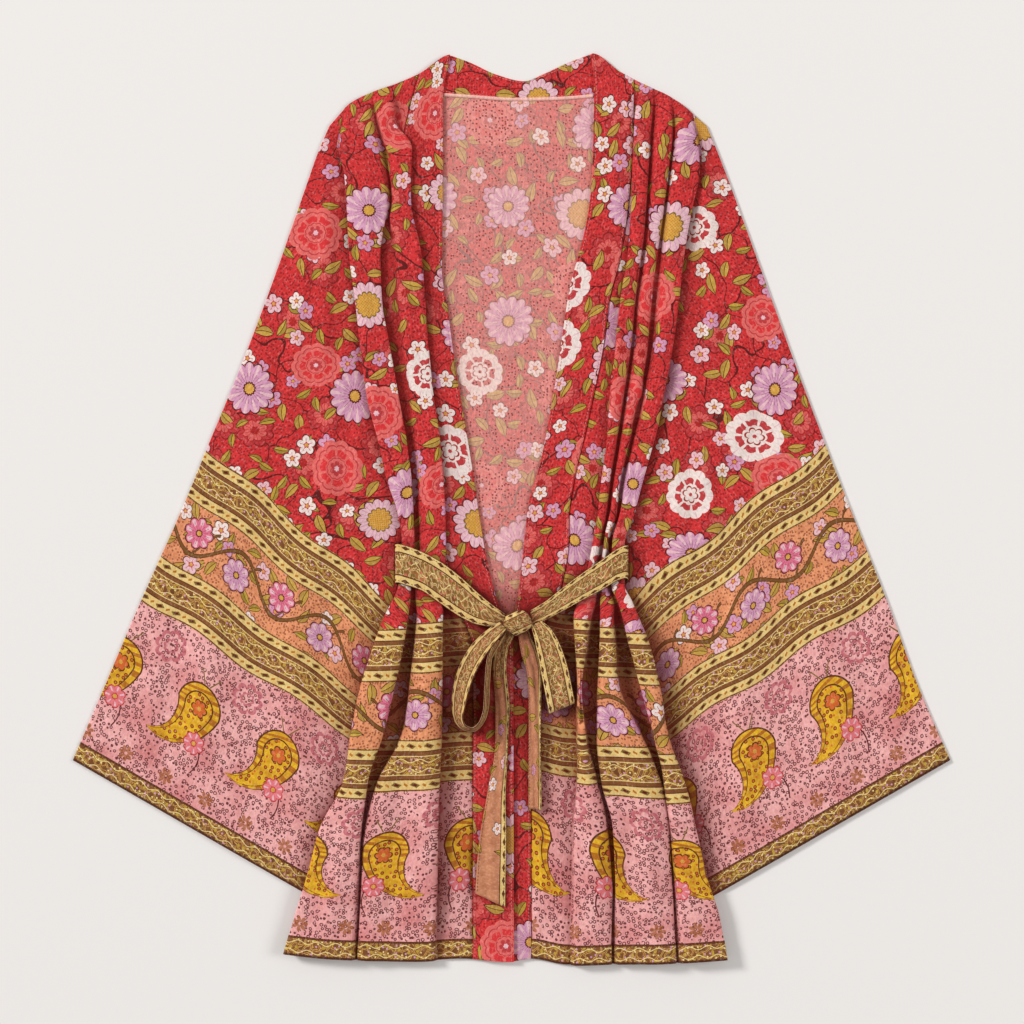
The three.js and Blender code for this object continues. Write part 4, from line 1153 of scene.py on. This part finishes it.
def sleeve(name, panel, fold_table, sign, creases, seed):
    ends = sleeve_ends(panel, pairs(fold_table), sign)
    # more lines between the given ones
    given = np.arange(len(ends))
    dense = np.linspace(0, len(ends) - 1, 210)
    lines = np.stack([curve(given, ends[:, k])(dense) for k in range(4)], axis=1)
    inner, outer = lines[:, :2], lines[:, 2:]
    length = np.linalg.norm(outer - inner, axis=1)
    swell = curve(given, [r[2] for r in SLEEVE_LINES])(dense)
    up = CLOTH / 2 + LAYER
    radius = LAYER / 2
    turn = math.pi * np.linspace(0, 1, TURN_POINTS + 2)[1:-1]
    k = np.linspace(1, 0, OVER_POINTS)
    middle = np.sin(np.pi * np.clip((k - 0.06) / 0.9, 0, 1))
    rows = []
    for r, reach in enumerate(length - radius):
        under = np.stack([np.linspace(0, 1, UNDER_POINTS) * reach, np.full(UNDER_POINTS, CLOTH / 2)], axis=1)
        fold_line = np.stack([reach + radius * np.sin(turn), CLOTH / 2 + radius * (1 - np.cos(turn))], axis=1)
        wave = 0.55 + 0.45 * np.sin(9 * k + 1.3 * dense[r] + seed)
        over = np.stack([k * reach, up + swell[r] * middle * wave * 0.8], axis=1)
        rows.append(np.concatenate([under, fold_line, over]))
    rows = np.array(rows)
    way = rows[..., 0] / length[:, None]
    x = inner[:, None, 0] + (outer - inner)[:, None, 0] * way
    y = inner[:, None, 1] + (outer - inner)[:, None, 1] * way
    net = np.stack([x, y, rows[..., 1]], axis=2)
    # flat cloth: stripes run parallel to the cuff, and above them the print is square to the first one
    from_cuff = along(outer[:, None, :], 0)
    v = np.repeat(from_cuff[-1] - from_cuff, net.shape[1], axis=1)
    u = length[:, None] - rows[..., 0]
    first = int(np.argmin(np.abs(v[:, 0] - BORDER_TOP)))
    corner_of_stripe = outer[first]
    axis_u = (inner[first] - corner_of_stripe) / length[first]
    axis_v = np.array([axis_u[1], -axis_u[0]]) * sign
    flat_u = (x - corner_of_stripe[0]) * axis_u[0] + (y - corner_of_stripe[1]) * axis_u[1]
    flat_v = (x - corner_of_stripe[0]) * axis_v[0] + (y - corner_of_stripe[1]) * axis_v[1]
    above = v > v[first, 0]
    u = np.where(above, flat_u, u)
    v = np.where(above, v[first, 0] + flat_v, v)
    v = v + 3.2 * np.sin(u * FULL_TURN / 118 + seed * 3) * soft(30, 170, v)
    front = np.arange(net.shape[1]) >= UNDER_POINTS + 3
    u = np.where(front[None], u, -u) * sign
    lift = ripple(net, 0.45, seed + 20)
    for row in creases:
        lift = lift + crease(net, *row)
    rim = np.sin(np.pi * np.clip(way, 0, 1)) ** 0.4
    lift = lift + 0.5 * soft(21.5, 18.5, v)
    net[:, front, 2] += lift[:, front] * rim[:, front]
    net[:, front, 2] = np.maximum(net[:, front, 2], CLOTH / 2 + 1.1 + 0.6 * rim[:, front])
    return sheet_piece(name, net, u, v, [PRINTED, PRINTED_BACK], 0.7, judge=NEAR_LAYER)


LEFT_SLEEVE_CREASES = [
    (-185, 350, -190, 120, 9, 3.0), (-172, 300, -176, 60, 7, -1.8), (-206, 290, -226, 60, 11, 3.0),
    (-168, 190, -196, -70, 9, 3.0), (-148, 130, -160, -60, 7, 2.4), (-244, 200, -275, -60, 13, 2.6),
    (-212, -30, -214, -360, 17, 4.6), (-178, -40, -180, -350, 10, -2.6), (-252, -40, -262, -300, 12, -2.2),
    (-290, 20, -312, -270, 16, 3.4), (-340, -40, -368, -260, 12, 2.4), (-322, 40, -345, -240, 9, -1.8),
    (-230, 170, -236, 0, 8, -1.8), (-160, -170, -160, -390, 7, 2.4),
]
RIGHT_SLEEVE_CREASES = [
    (196, 350, 200, 140, 9, 3.0), (184, 290, 188, 60, 7, -1.8), (218, 290, 240, 60, 11, 3.0),
    (176, 180, 204, -60, 9, 3.0), (160, 120, 170, -60, 7, 2.4), (258, 200, 290, -50, 13, 2.6),
    (228, -20, 232, -350, 17, 4.6), (196, -40, 200, -350, 10, -2.6), (270, -30, 282, -300, 12, -2.8),
    (318, -10, 330, -290, 15, 4.0), (362, -60, 388, -270, 11, 2.4), (345, 20, 362, -240, 9, -1.8),
    (242, 170, 248, 0, 8, -1.8), (168, -160, 170, -390, 7, 2.4),
]
sleeve_left = sleeve("sleeve_left_cloth", left, LEFT_FOLD, -1, LEFT_SLEEVE_CREASES, 0.4)
sleeve_right = sleeve("sleeve_right_cloth", right, RIGHT_FOLD, 1, RIGHT_SLEEVE_CREASES, 2.1)

# %% [markdown]
# ## The front bands and the neck band
# A doubled strip of the red print runs from the hem up each front edge, and a third one stands up
# behind the neck. The left band lies over the right one below the belt. A band could be a box bent
# along a curve; here each level asks the front where its seam is, so band and front always meet.

# %% Front bands


def front_band(name, table, edge, sign, over, seed):
    rows, count = [], 22
    for y in FRONT_LEVELS:
        section = front_section(table, y)
        seam = sign * -(section[-1, 0] + SEAM_GAP)
        probe = float(edge(y))
        free = float(edge(bend(probe, y)))
        k = np.linspace(0, 1, count)
        x = seam + (free - seam) * k
        real = bend(x, np.full(count, y))
        z = front_base(x, real) - CLOTH / 2 + BAND_THICK / 2
        if over:
            lap = float(soft(-72, -92, y)) * (BAND_THICK + 0.4)
            z = z + lap * soft(float(right_edge(y)) - 13, float(right_edge(y)) - 2, x)
        rows.append(np.stack([x, real, z], axis=1))
    net = np.array(rows)
    rim = np.sin(np.pi * np.linspace(0, 1, count))[None]
    net[..., 2] += ripple(net, 0.35, seed) * rim
    # each band is cut from its own place of the cloth
    u = along(net) + 700 * (2 + sign)
    return sheet_piece(name, net, u, net[..., 1], [BAND_PRINT], 1.9, bevel=0.5)


band_left = front_band("front_band_left_cloth", left, left_edge, -1, True, 31)
band_right = front_band("front_band_right_cloth", right, right_edge, 1, False, 32)

# %% [markdown]
# The neck band stands up behind the neck on a real robe and lies flat here, a little raised. It could
# go on from the front bands as one strip. It has seams with them, so it is its own short net between
# the neck seam and its upper edge.

# %% Neck band
NECK_PRINT = 1900  # where the neck band is cut from the cloth
t = np.linspace(0, 1, 70)
k = np.linspace(0, 1, 14)[:, None]
low_x, high_x = mix(-71, 85, t), mix(-64, 83.5, t)
neck_x = mix(low_x, high_x, k)
neck_y = mix(neck_seam(low_x), neck_edge(high_x), k)
neck_z = np.full_like(neck_x, 0.95) + np.sin(np.pi * k) * 0.12
neck_net = np.stack([neck_x, neck_y, neck_z], axis=2)
neck = sheet_piece("neck_band_cloth", neck_net, neck_x + NECK_PRINT, neck_y, [BAND_PRINT], 1.5, bevel=0.5)

# %% [markdown]
# Behind the neck the two seam allowances are turned together and stand as a thin pale roll along the
# seam. A bump in the material would vanish from the side, so half a tube is laid along the seam line.

# %% Ridge of the back neck seam
share = np.linspace(0, 1, 120)
ridge_x = mix(-68, 82, share)
ridge_y = neck_seam(ridge_x)
ring = np.linspace(0, math.pi, 9)[:, None]
round_x = np.repeat(ridge_x[None], 9, 0)
round_z = 1.0 + 1.3 * np.sin(ring) + 0.12 * np.sin(ridge_x * 1.9)
roll = np.stack([round_x, ridge_y - 1.7 * np.cos(ring), round_z], axis=2)
neck_ridge = sheet_piece("neck_seam_ridge", roll, round_x + NECK_PRINT, ridge_y + ring, [RIDGE], 0.4)

# %% [markdown]
# ## The belt
# One long strip folded double, tied in a bow a little right of the middle. It shows as the two
# stretches across the front, the knot, two loops and two hanging ends.

# %% Belt tables
# distance outward, top edge, bottom edge, height
LEFT_BELT = [
    (108, -36, -76, 0.8), (114, -36, -75, 1.6), (115.4, -35.5, -74.5, 4.5), (115.4, -35, -74, 9),
    (113, -34.5, -73.5, 12), (106, -36, -75.5, 12.8), (90, -42, -81, 12.4), (71, -52, -94, 12.4),
    (50, -68, -108, 12.0), (34, -83, -115, 11.8), (20, -95, -117, 12.2), (6.3, -105, -118, 12.6),
]
RIGHT_BELT = [
    (108, -36, -76, 0.8), (114, -36, -75, 1.6), (115.6, -36, -73, 4.5), (115.8, -36, -71, 9),
    (113, -36, -69, 12), (106, -39, -71, 12.8), (89, -51, -81, 12.4), (70, -64, -91, 12.4),
    (50, -79, -102, 12.2), (34, -92, -110, 12.2), (19.2, -101, -116, 12.8),
]
# middle line x, y, z, width, lean from flat in degrees
LEFT_LOOP = [
    (-8.4, -116, 17.5, 10, 20), (-21, -127, 21, 18, 40), (-36, -145, 20, 24, 46), (-47, -168, 19, 25, 50),
    (-52, -190, 19, 25, 56), (-53, -205, 19.5, 24, 66), (-48, -216, 19.8, 24, 76), (-39, -219, 19.8, 24, 80),
    (-30, -212, 19.8, 24, 82), (-25, -196, 19.8, 24, 82), (-24, -174, 19.8, 22, 82),
    (-22, -150, 19.5, 18, 80), (-13, -130, 19, 10, 50),
]
RIGHT_LOOP = [
    (24.6, -113.5, 15, 12), (31, -123, 17, 19), (38, -142, 18, 25), (44, -166, 18, 28), (48, -186, 17, 28),
    (50, -196, 14.5, 28), (50, -198, 12, 28), (48.5, -190, 9.6, 27), (45, -168, 9.2, 24), (38, -144, 9.8, 15),
    (31, -128, 12.2, 10),
]
# middle line x, y, z, width, slant of the end
LEFT_TAIL = [
    (-0.5, -120, 8.9, 11, 0), (-4, -128, 10, 12, 0), (-10, -140, 10, 13, 0), (-12, -160, 9, 13, 0),
    (-9, -200, 8.6, 14, 0), (-10, -240, 8.6, 13, 0), (-15, -285, 8.6, 18, 2), (-18, -325, 8.6, 26, 5),
    (-20, -360, 8.6, 29, 9), (-21, -390, 8.6, 30, 14),
]
RIGHT_TAIL = [
    (12, -120, 8.9, 11, 0), (14, -129, 10, 13, 0), (19, -146, 10, 17, 0), (23, -165, 9.4, 14, 0),
    (23.5, -200, 9, 12, 0), (23.5, -250, 8.8, 12, 0), (23.5, -299, 8.6, 12.5, 2),
]


def dense_rows(table, count):
    table = np.array(table, float)
    at = np.arange(len(table))
    fine = np.linspace(0, len(table) - 1, count)
    return np.stack([curve(at, table[:, c])(fine) for c in range(table.shape[1])], axis=1)


print("belt rows:", len(LEFT_BELT), len(RIGHT_BELT))

# %% [markdown]
# Across the front the belt comes round each side, lies on the folds and narrows into gathers at the
# knot. The gathers could be left to the print; a wave across the strip that grows toward the knot
# gives them real height. Each stretch takes its piece of the printed strip, which the shift chooses.

# %% Belt across the front and behind
BELT_WIDE = 31  # of the printed strip, edge to edge


def belt_sheet(name, net, face_up=True, shift=0.0):
    u = along(net, 0) + shift
    full = along(net, 1)
    v = (full / np.maximum(full[:, -1:], 1e-6) - 0.5) * BELT_WIDE
    return sheet_piece(name, net, u, v, [BELT_PRINT, BELT_BACK], 1.2, face_up=face_up)


def front_belt(name, table, sign, shift):
    rows = dense_rows(table, 110)
    k = np.linspace(0, 1, 26)
    near_knot = soft(60, 10, rows[:, 0])[:, None]
    x = np.repeat(rows[:, :1], len(k), axis=1) * sign
    y = rows[:, 1:2] + (rows[:, 2:3] - rows[:, 1:2]) * k
    flat = soft(10, 12, rows[:, 3:4])
    z = rows[:, 3:4] + (1 - (2 * k - 1) ** 2) * 0.4 * flat
    z = z + np.sin(k * FULL_TURN * 2.5) * 1.1 * near_knot * flat
    z = z + (np.exp(-(((k - 0.33) / 0.05) ** 2)) + np.exp(-(((k - 0.7) / 0.05) ** 2))) * 0.5 * flat
    return belt_sheet(name, np.stack([x, y, z], axis=2), shift=shift)


belt_left = front_belt("belt_left_cloth", LEFT_BELT, -1, 0.0)
belt_right = front_belt("belt_right_cloth", RIGHT_BELT, 1, 400.0)
behind_x, behind_y = np.meshgrid(np.linspace(-107.7, 107.7, 60), np.linspace(-36, -76, 12), indexing="ij")
behind_net = np.stack([behind_x, behind_y, np.full_like(behind_x, 0.8)], axis=2)
belt_behind = belt_sheet("belt_back_cloth", behind_net, face_up=False, shift=900.0)

# %% [markdown]
# A bow's loop is the strip turned on its edge and bent back. A ribbon that leans from flat to nearly
# upright along its middle line shows it. The other loop is pressed flat, and the ends hang straight.

# %% Loops and hanging ends


def ribbon(name, table, shift):
    rows = dense_rows(table, 120)
    middle = rows[:, :3]
    way = np.gradient(middle, axis=0)
    way /= np.linalg.norm(way, axis=1, keepdims=True)
    flat = np.stack([-way[:, 1], way[:, 0], np.zeros(len(middle))], axis=1)
    flat /= np.linalg.norm(flat, axis=1, keepdims=True)
    lean = np.radians(rows[:, 4:5])
    side = flat * np.cos(lean) + np.array([[0, 0, 1.0]]) * np.sin(lean)
    side -= way * np.sum(side * way, axis=1, keepdims=True)
    side /= np.linalg.norm(side, axis=1, keepdims=True)
    k = np.linspace(-0.5, 0.5, 22)
    net = middle[:, None] + side[:, None] * (k[None, :, None] * rows[:, 3][:, None, None])
    out = np.cross(way, side)
    net += out[:, None] * (np.sin(k * 12) * 0.8)[None, :, None]
    return belt_sheet(name, net, shift=shift)


def flat_loop(name, table, shift):
    rows = dense_rows(table, 120)
    across_loop = np.array([30, 12, 0]) / math.hypot(30, 12)
    k = np.linspace(-0.5, 0.5, 22)
    net = rows[:, None, :3] + across_loop * (k[None, :, None] * rows[:, 3][:, None, None])
    net[..., 2] += np.sin(k * 13)[None] * 0.8 * soft(0, 25, along(net, 0))
    return belt_sheet(name, net, shift=shift)


def tail(name, table, shift):
    rows = dense_rows(table, 120)
    k = np.linspace(-0.5, 0.5, 22)
    x = rows[:, :1] + k * rows[:, 3:4]
    y = rows[:, 1:2] - k * rows[:, 4:5]
    z = rows[:, 2:3] + (1 - 4 * k * k) * 0.5 + np.sin(k * 11 + rows[:, 1:2] * 0.05) * 0.7
    return belt_sheet(name, np.stack([x, y, z], axis=2), shift=shift)


loop_left = ribbon("bow_loop_left_cloth", LEFT_LOOP, 1500.0)
loop_right = flat_loop("bow_loop_right_cloth", RIGHT_LOOP, 1800.0)
tail_left = tail("tail_left_cloth", LEFT_TAIL, 2100.0)
tail_right = tail("tail_right_cloth", RIGHT_TAIL, 2500.0)

# %% [markdown]
# The knot is a small tight lump of wrapped strip. Winding real strips through each other would hide
# nearly all of them, so it is a sphere pressed to the knot's size, with slanting pleats as its wraps
# and painted shade in the grooves between them.

# %% Knot
KNOT_PLACE, KNOT_SIZE = (6, -113, 15.5), (14, 13, 7)
knot_mesh = bpy.data.meshes.new("knot_cloth")
bm = bmesh.new()
bmesh.ops.create_uvsphere(bm, u_segments=64, v_segments=40, radius=1.0)
uv = bm.loops.layers.uv.new("flat_cloth")
bm.loops.layers.uv.new("fold_shade")
knot_groove_shade = []
for vert in bm.verts:
    x, y, z = vert.co
    pleats = abs(math.sin(4.6 * (x + 0.45 * y) + 0.9 * z + 0.5)) ** 0.6
    wrap = 0.88 + 0.14 * pleats
    # the grooves between the wraps get painted shade, deeper where the groove is deeper
    knot_groove_shade.append(0.75 * (1 - pleats) ** 1.5)
    vert.co = Vector([(at + reach * c * wrap) * MM for at, reach, c in zip(KNOT_PLACE, KNOT_SIZE, (x, y, z))])
for face in bm.faces:
    face.smooth = True
    for loop in face.loops:
        x, y = [loop.vert.co[i] - KNOT_PLACE[i] * MM for i in (0, 1)]
        loop[uv].uv = (x + y, 1.25 * y - 0.6 * x)
bmesh.ops.recalc_face_normals(bm, faces=bm.faces[:])
bm.to_mesh(knot_mesh)
bm.free()
knot_mesh.materials.append(BELT_PRINT)
knot = place_object("knot_cloth", knot_mesh)
print("knot faces:", len(knot_mesh.polygons))

# %% [markdown]
# ## Painted shade in the folds
# Deep folds of a dark print look darker than their shadow alone, as little light reaches them, so
# shade is painted into the cloth's colour there. The painted shade of a point is worked out from how
# far the cloth around it stands above it, and is kept in a second map, which the cloth materials read.
# The renderer's own ambient occlusion isn't used, as it can't be baked with the print.

# %% Painted shade in the folds
CELL, DIRECTIONS, REACHES = 4.0, 12, (5, 8, 12, 17, 24, 34)
CLOTHS = [front_left, front_right, back, sleeve_left, sleeve_right, band_left, band_right, neck,
          belt_left, belt_right, loop_left, loop_right, tail_left, tail_right, knot]


def points_of(piece):
    flat = np.zeros(len(piece.data.vertices) * 3)
    piece.data.vertices.foreach_get("co", flat)
    return flat.reshape(-1, 3) / MM


everything = np.concatenate([points_of(c) for c in CLOTHS])
corner = everything.min(axis=0)[:2] - 12 * CELL
size = np.ceil((everything.max(axis=0)[:2] - corner) / CELL).astype(int) + 13
top = np.zeros(size)
where_to = np.floor((everything[:, :2] - corner) / CELL).astype(int)
np.maximum.at(top, (where_to[:, 0], where_to[:, 1]), everything[:, 2])
for piece in CLOTHS:
    points = points_of(piece)
    shade = np.zeros(len(points))
    for turn in np.arange(DIRECTIONS) * 2 * math.pi / DIRECTIONS:
        climb = np.zeros(len(points))
        for far in REACHES:
            ix = np.floor((points[:, 0] + far * math.cos(turn) - corner[0]) / CELL).astype(int)
            iy = np.floor((points[:, 1] + far * math.sin(turn) - corner[1]) / CELL).astype(int)
            climb = np.maximum(climb, (top[ix, iy] - points[:, 2] - 1.2) / far)
        # the light comes mostly from the left, so what stands there counts for more
        shade += np.sin(np.arctan(climb)) * (1 - 0.5 * math.cos(turn))
    shade = np.clip(shade / DIRECTIONS * 1.4 - 0.04, 0, 0.78)
    # the knot's grooves keep at least their own painted shade
    if piece is knot:
        shade = np.maximum(shade, knot_groove_shade)
    if piece.name.startswith(("bow", "tail")):
        shade *= 0.6
    corners = np.zeros(len(piece.data.loops), dtype=np.int32)
    piece.data.loops.foreach_get("vertex_index", corners)
    pair = np.zeros((len(corners), 2))
    pair[:, 0] = shade[corners]
    piece.data.uv_layers["fold_shade"].data.foreach_set("uv", pair.ravel())
    print(piece.name, "deepest shade:", round(float(shade.max()), 2))

# %% [markdown]
# ## Sewing
# Rows of small machine stitches hold down both edges of the bands, the turned hems and cuffs, and
# the edges of the belt. They could be painted on with the print, but thread stands up and catches the
# light. So each stitch is a short spindle, made by the sphere operator and stretched along its row.

# %% Stitches
STITCH, PITCH, THREAD = 2.4, 3.4, 0.36


def column_line(net, k):
    """The line on a net at a share k of the way across it."""
    at = k * (net.shape[1] - 1)
    j = min(int(at), net.shape[1] - 2)
    return mix(net[:, j], net[:, j + 1], at - j)


def level_line(net, v, height, first=0):
    """The line on a net that runs at one height of the flat cloth."""
    found = []
    for j in range(first, net.shape[1]):
        order = np.argsort(v[:, j])
        found.append([np.interp(height, v[order, j], net[order, j, c]) for c in range(3)])
    return np.array(found)


def stitch_row(bm, line, up, lift):
    """Stitches along a line: short spindles that lie on the cloth and dip at both ends."""
    gone = np.concatenate([[0], np.cumsum(np.linalg.norm(np.diff(line, axis=0), axis=1))])
    for begin in np.arange(1.0, gone[-1] - STITCH, PITCH):
        start, end = [
            Vector([np.interp(begin + f, gone, line[:, c]) for c in range(3)]) for f in (0, STITCH)
        ]
        way = end - start
        if way.length < STITCH * 0.6:
            continue
        way.normalize()
        side = way.cross(Vector(up)).normalized()
        rise = side.cross(way)
        place = Matrix((rise * THREAD, side * THREAD, way * STITCH / 2)).transposed().to_4x4()
        place.translation = (start + end) / 2 + rise * lift
        place = Matrix.Scale(MM, 4) @ place
        bmesh.ops.create_uvsphere(bm, u_segments=5, v_segments=4, radius=1.0, matrix=place)


def thread_material(name, colour):
    material, shader = begin_material(name)
    x, y, _ = split(Val(new_node("ShaderNodeTexCoord").outputs["Object"]))
    twist = calc("SINE", (x + y) * 9000.0)
    feed(paint(colour, INK, (twist > 0.3) * 0.45), shader.inputs["Base Color"])
    shader.inputs["Roughness"].default_value = 0.6
    return material


def stitches(name, lines, material):
    mesh = bpy.data.meshes.new(name)
    one_row = bpy.data.meshes.new("row_of_stitches")
    bm = bmesh.new()
    for line, up, lift in lines:
        # each row is made on its own, because an operator slows down as its mesh grows
        row = bmesh.new()
        stitch_row(row, line, up, lift)
        row.to_mesh(one_row)
        row.free()
        bm.from_mesh(one_row)
    bpy.data.meshes.remove(one_row)
    bmesh.ops.recalc_face_normals(bm, faces=bm.faces[:])
    for face in bm.faces:
        face.smooth = True
    bm.to_mesh(mesh)
    bm.free()
    mesh.materials.append(material)
    print(name, "stitches:", len(mesh.vertices) // 17)
    return place_object(name, mesh)


print("stitch length, mm:", STITCH)

# %% [markdown]
# The lines to sew along could be drawn again by hand. They are read from the nets of the cloth
# instead, at a share of the way across a band or belt and at one height above a hem or cuff, so that
# the stitches stay on the cloth when a table above is changed.

# %% Rows of stitches
FLAT, HEM_STITCH = (0, 0, 1), 18.6
BANDS = ("front_band_left_cloth", "front_band_right_cloth")
BELTS = ("belt_left_cloth", "belt_right_cloth", "bow_loop_right_cloth", "tail_left_cloth", "tail_right_cloth")
red_lines = [(column_line(NETS[n][0], k), FLAT, 1.0) for n in BANDS for k in (0.05, 0.94)]
red_lines += [(NETS["neck_band_cloth"][0][i], FLAT, 0.8) for i in (1, 12)]
tan_lines = [
    (level_line(*NETS[n], HEM_STITCH, first), FLAT, 0.4)
    for n, first in (("front_left_cloth", 0), ("front_right_cloth", 0), ("sleeve_left_cloth", 50),
                     ("sleeve_right_cloth", 50))
]
tan_lines += [(column_line(NETS[n][0], k), FLAT, 0.65) for k in (0.06, 0.94) for n in BELTS]
stitches_red = stitches("band_stitches", red_lines, thread_material("red_thread", hexa("E89088")))
tan_thread = thread_material("tan_thread", hexa("7A4A24"))
stitches_tan = stitches("hem_and_belt_stitches", tan_lines, tan_thread)

# %% [markdown]
# ## Hand the pieces over
# Every cloth piece stands for its solid and rides on the robe's one body. Each flat
# sheet says how large its cloth is before it is folded.

# %% Riding and sheets
OWNERS = [
    (front_left, "front_panel_left", "printed_cloth"), (front_right, "front_panel_right", "printed_cloth"),
    (back, "back_panel", "wrong_side_cloth"), (sleeve_left, "sleeve_left", "printed_cloth"),
    (sleeve_right, "sleeve_right", "printed_cloth"), (band_left, "front_band_left", "band_cloth"),
    (band_right, "front_band_right", "band_cloth"), (neck, "neck_band", "band_cloth"),
    (belt_left, "belt_left", "belt_cloth"), (belt_right, "belt_right", "belt_cloth"),
    (belt_behind, "belt_back", "belt_cloth"), (loop_left, "bow_loop_left", "belt_cloth"),
    (loop_right, "bow_loop_right", "belt_cloth"), (tail_left, "tail_left", "belt_cloth"),
    (tail_right, "tail_right", "belt_cloth"), (knot, "knot", "belt_cloth"),
]
for piece, node, slot_name in OWNERS:
    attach(piece, "root")
    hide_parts(node)
SEWN_ON = ((neck_ridge, "band_cloth"), (stitches_red, "band_cloth"), (stitches_tan, "belt_cloth"))
for piece, slot_name in SEWN_ON:
    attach(piece, "root")


def cloth_area(piece):
    return sum(f.area for f in piece.data.polygons)


# width and length of the cut in metres, its flat area, and what it lies on
SHEETS = [
    (back, 0.436, 0.893, 0.272, [], "floor"), (belt_behind, 0.042, 0.216, 0.0087, [], "floor"),
    (front_left, 0.21, 0.889, 0.122, [], back), (front_right, 0.222, 0.891, 0.131, [], back),
    (sleeve_left, 0.651, 0.685, 0.263, [], "floor"), (sleeve_right, 0.651, 0.68, 0.265, [], "floor"),
    (band_left, 0.045, 0.906, 0.0363, [], band_right), (band_right, 0.05, 0.907, 0.0367, [], back),
    (neck, 0.156, 0.046, 0.0044, [neck_ridge], "floor"),
    (belt_left, 0.042, 0.141, 0.0049, [], front_left), (belt_right, 0.042, 0.133, 0.0032, [], front_right),
    (loop_left, 0.025, 0.237, 0.005, [], band_left), (loop_right, 0.028, 0.168, 0.0039, [], front_right),
    (tail_left, 0.03, 0.28, 0.0052, [], band_left), (tail_right, 0.017, 0.183, 0.0024, [], band_left),
]
for piece, *_ in SHEETS:
    print(piece.name, "cloth area, m2:", round(cloth_area(piece), 4))

# %% [markdown]
# ## Floor, light and camera
# The robe lies on a plain pale floor. The floor is only the stage for the picture and is no part of
# the robe. The table of sheets above lists what each cloth piece lies on.

# %% Floor
floor_mesh = bpy.data.meshes.new("floor")
bm = bmesh.new()
bmesh.ops.create_grid(bm, x_segments=1, y_segments=1, size=3.0)
bm.to_mesh(floor_mesh)
bm.free()
floor = place_object("floor", floor_mesh)
floor_material, floor_shader = begin_material("floor")
feed(hexa("EBE7E4"), floor_shader.inputs["Base Color"])
feed(0.9, floor_shader.inputs["Roughness"])
floor_mesh.materials.append(floor_material)

print("sheets:", len(SHEETS))

# %% [markdown]
# The light is a bright room's: an even sky, a large strong lamp from the upper left that draws the
# folds, and a weaker one from the right that opens their shadows. One bare sun would make the shadows
# hard. A long lens straight above keeps the outline nearly free of perspective.

# %% Sky, lamps and camera
world = bpy.data.worlds.new("even_sky")
bpy.context.scene.world = world
world.use_nodes = True
world.node_tree.nodes["Background"].inputs[0].default_value = (1, 0.99, 0.98, 1)
world.node_tree.nodes["Background"].inputs[1].default_value = 0.42
bpy.context.scene.view_settings.view_transform = "Standard"


def lamp(name, place, size, power):
    data = bpy.data.lights.new(name, "AREA")
    data.size = size
    data.energy = power
    lamp_object = place_object(name, data)
    lamp_object.location = place
    lamp_object.rotation_euler = (-Vector(place)).to_track_quat("-Z", "Y").to_euler()


lamp("key_lamp", (-10.0, 5.2, 6.6), 2.8, 1350)
lamp("fill_lamp", (6.0, 0.5, 4.5), 3.0, 195)

FRAME_WIDE = 1.024  # metres of floor across the picture
camera_data = bpy.data.cameras.new("camera")
camera_data.lens = 85
camera_data.sensor_width = 36
camera = place_object("camera", camera_data)
camera.location = (0.0005, -0.003, FRAME_WIDE * camera_data.lens / camera_data.sensor_width)
bpy.context.scene.camera = camera
print("camera height, m:", round(camera.location.z, 3))
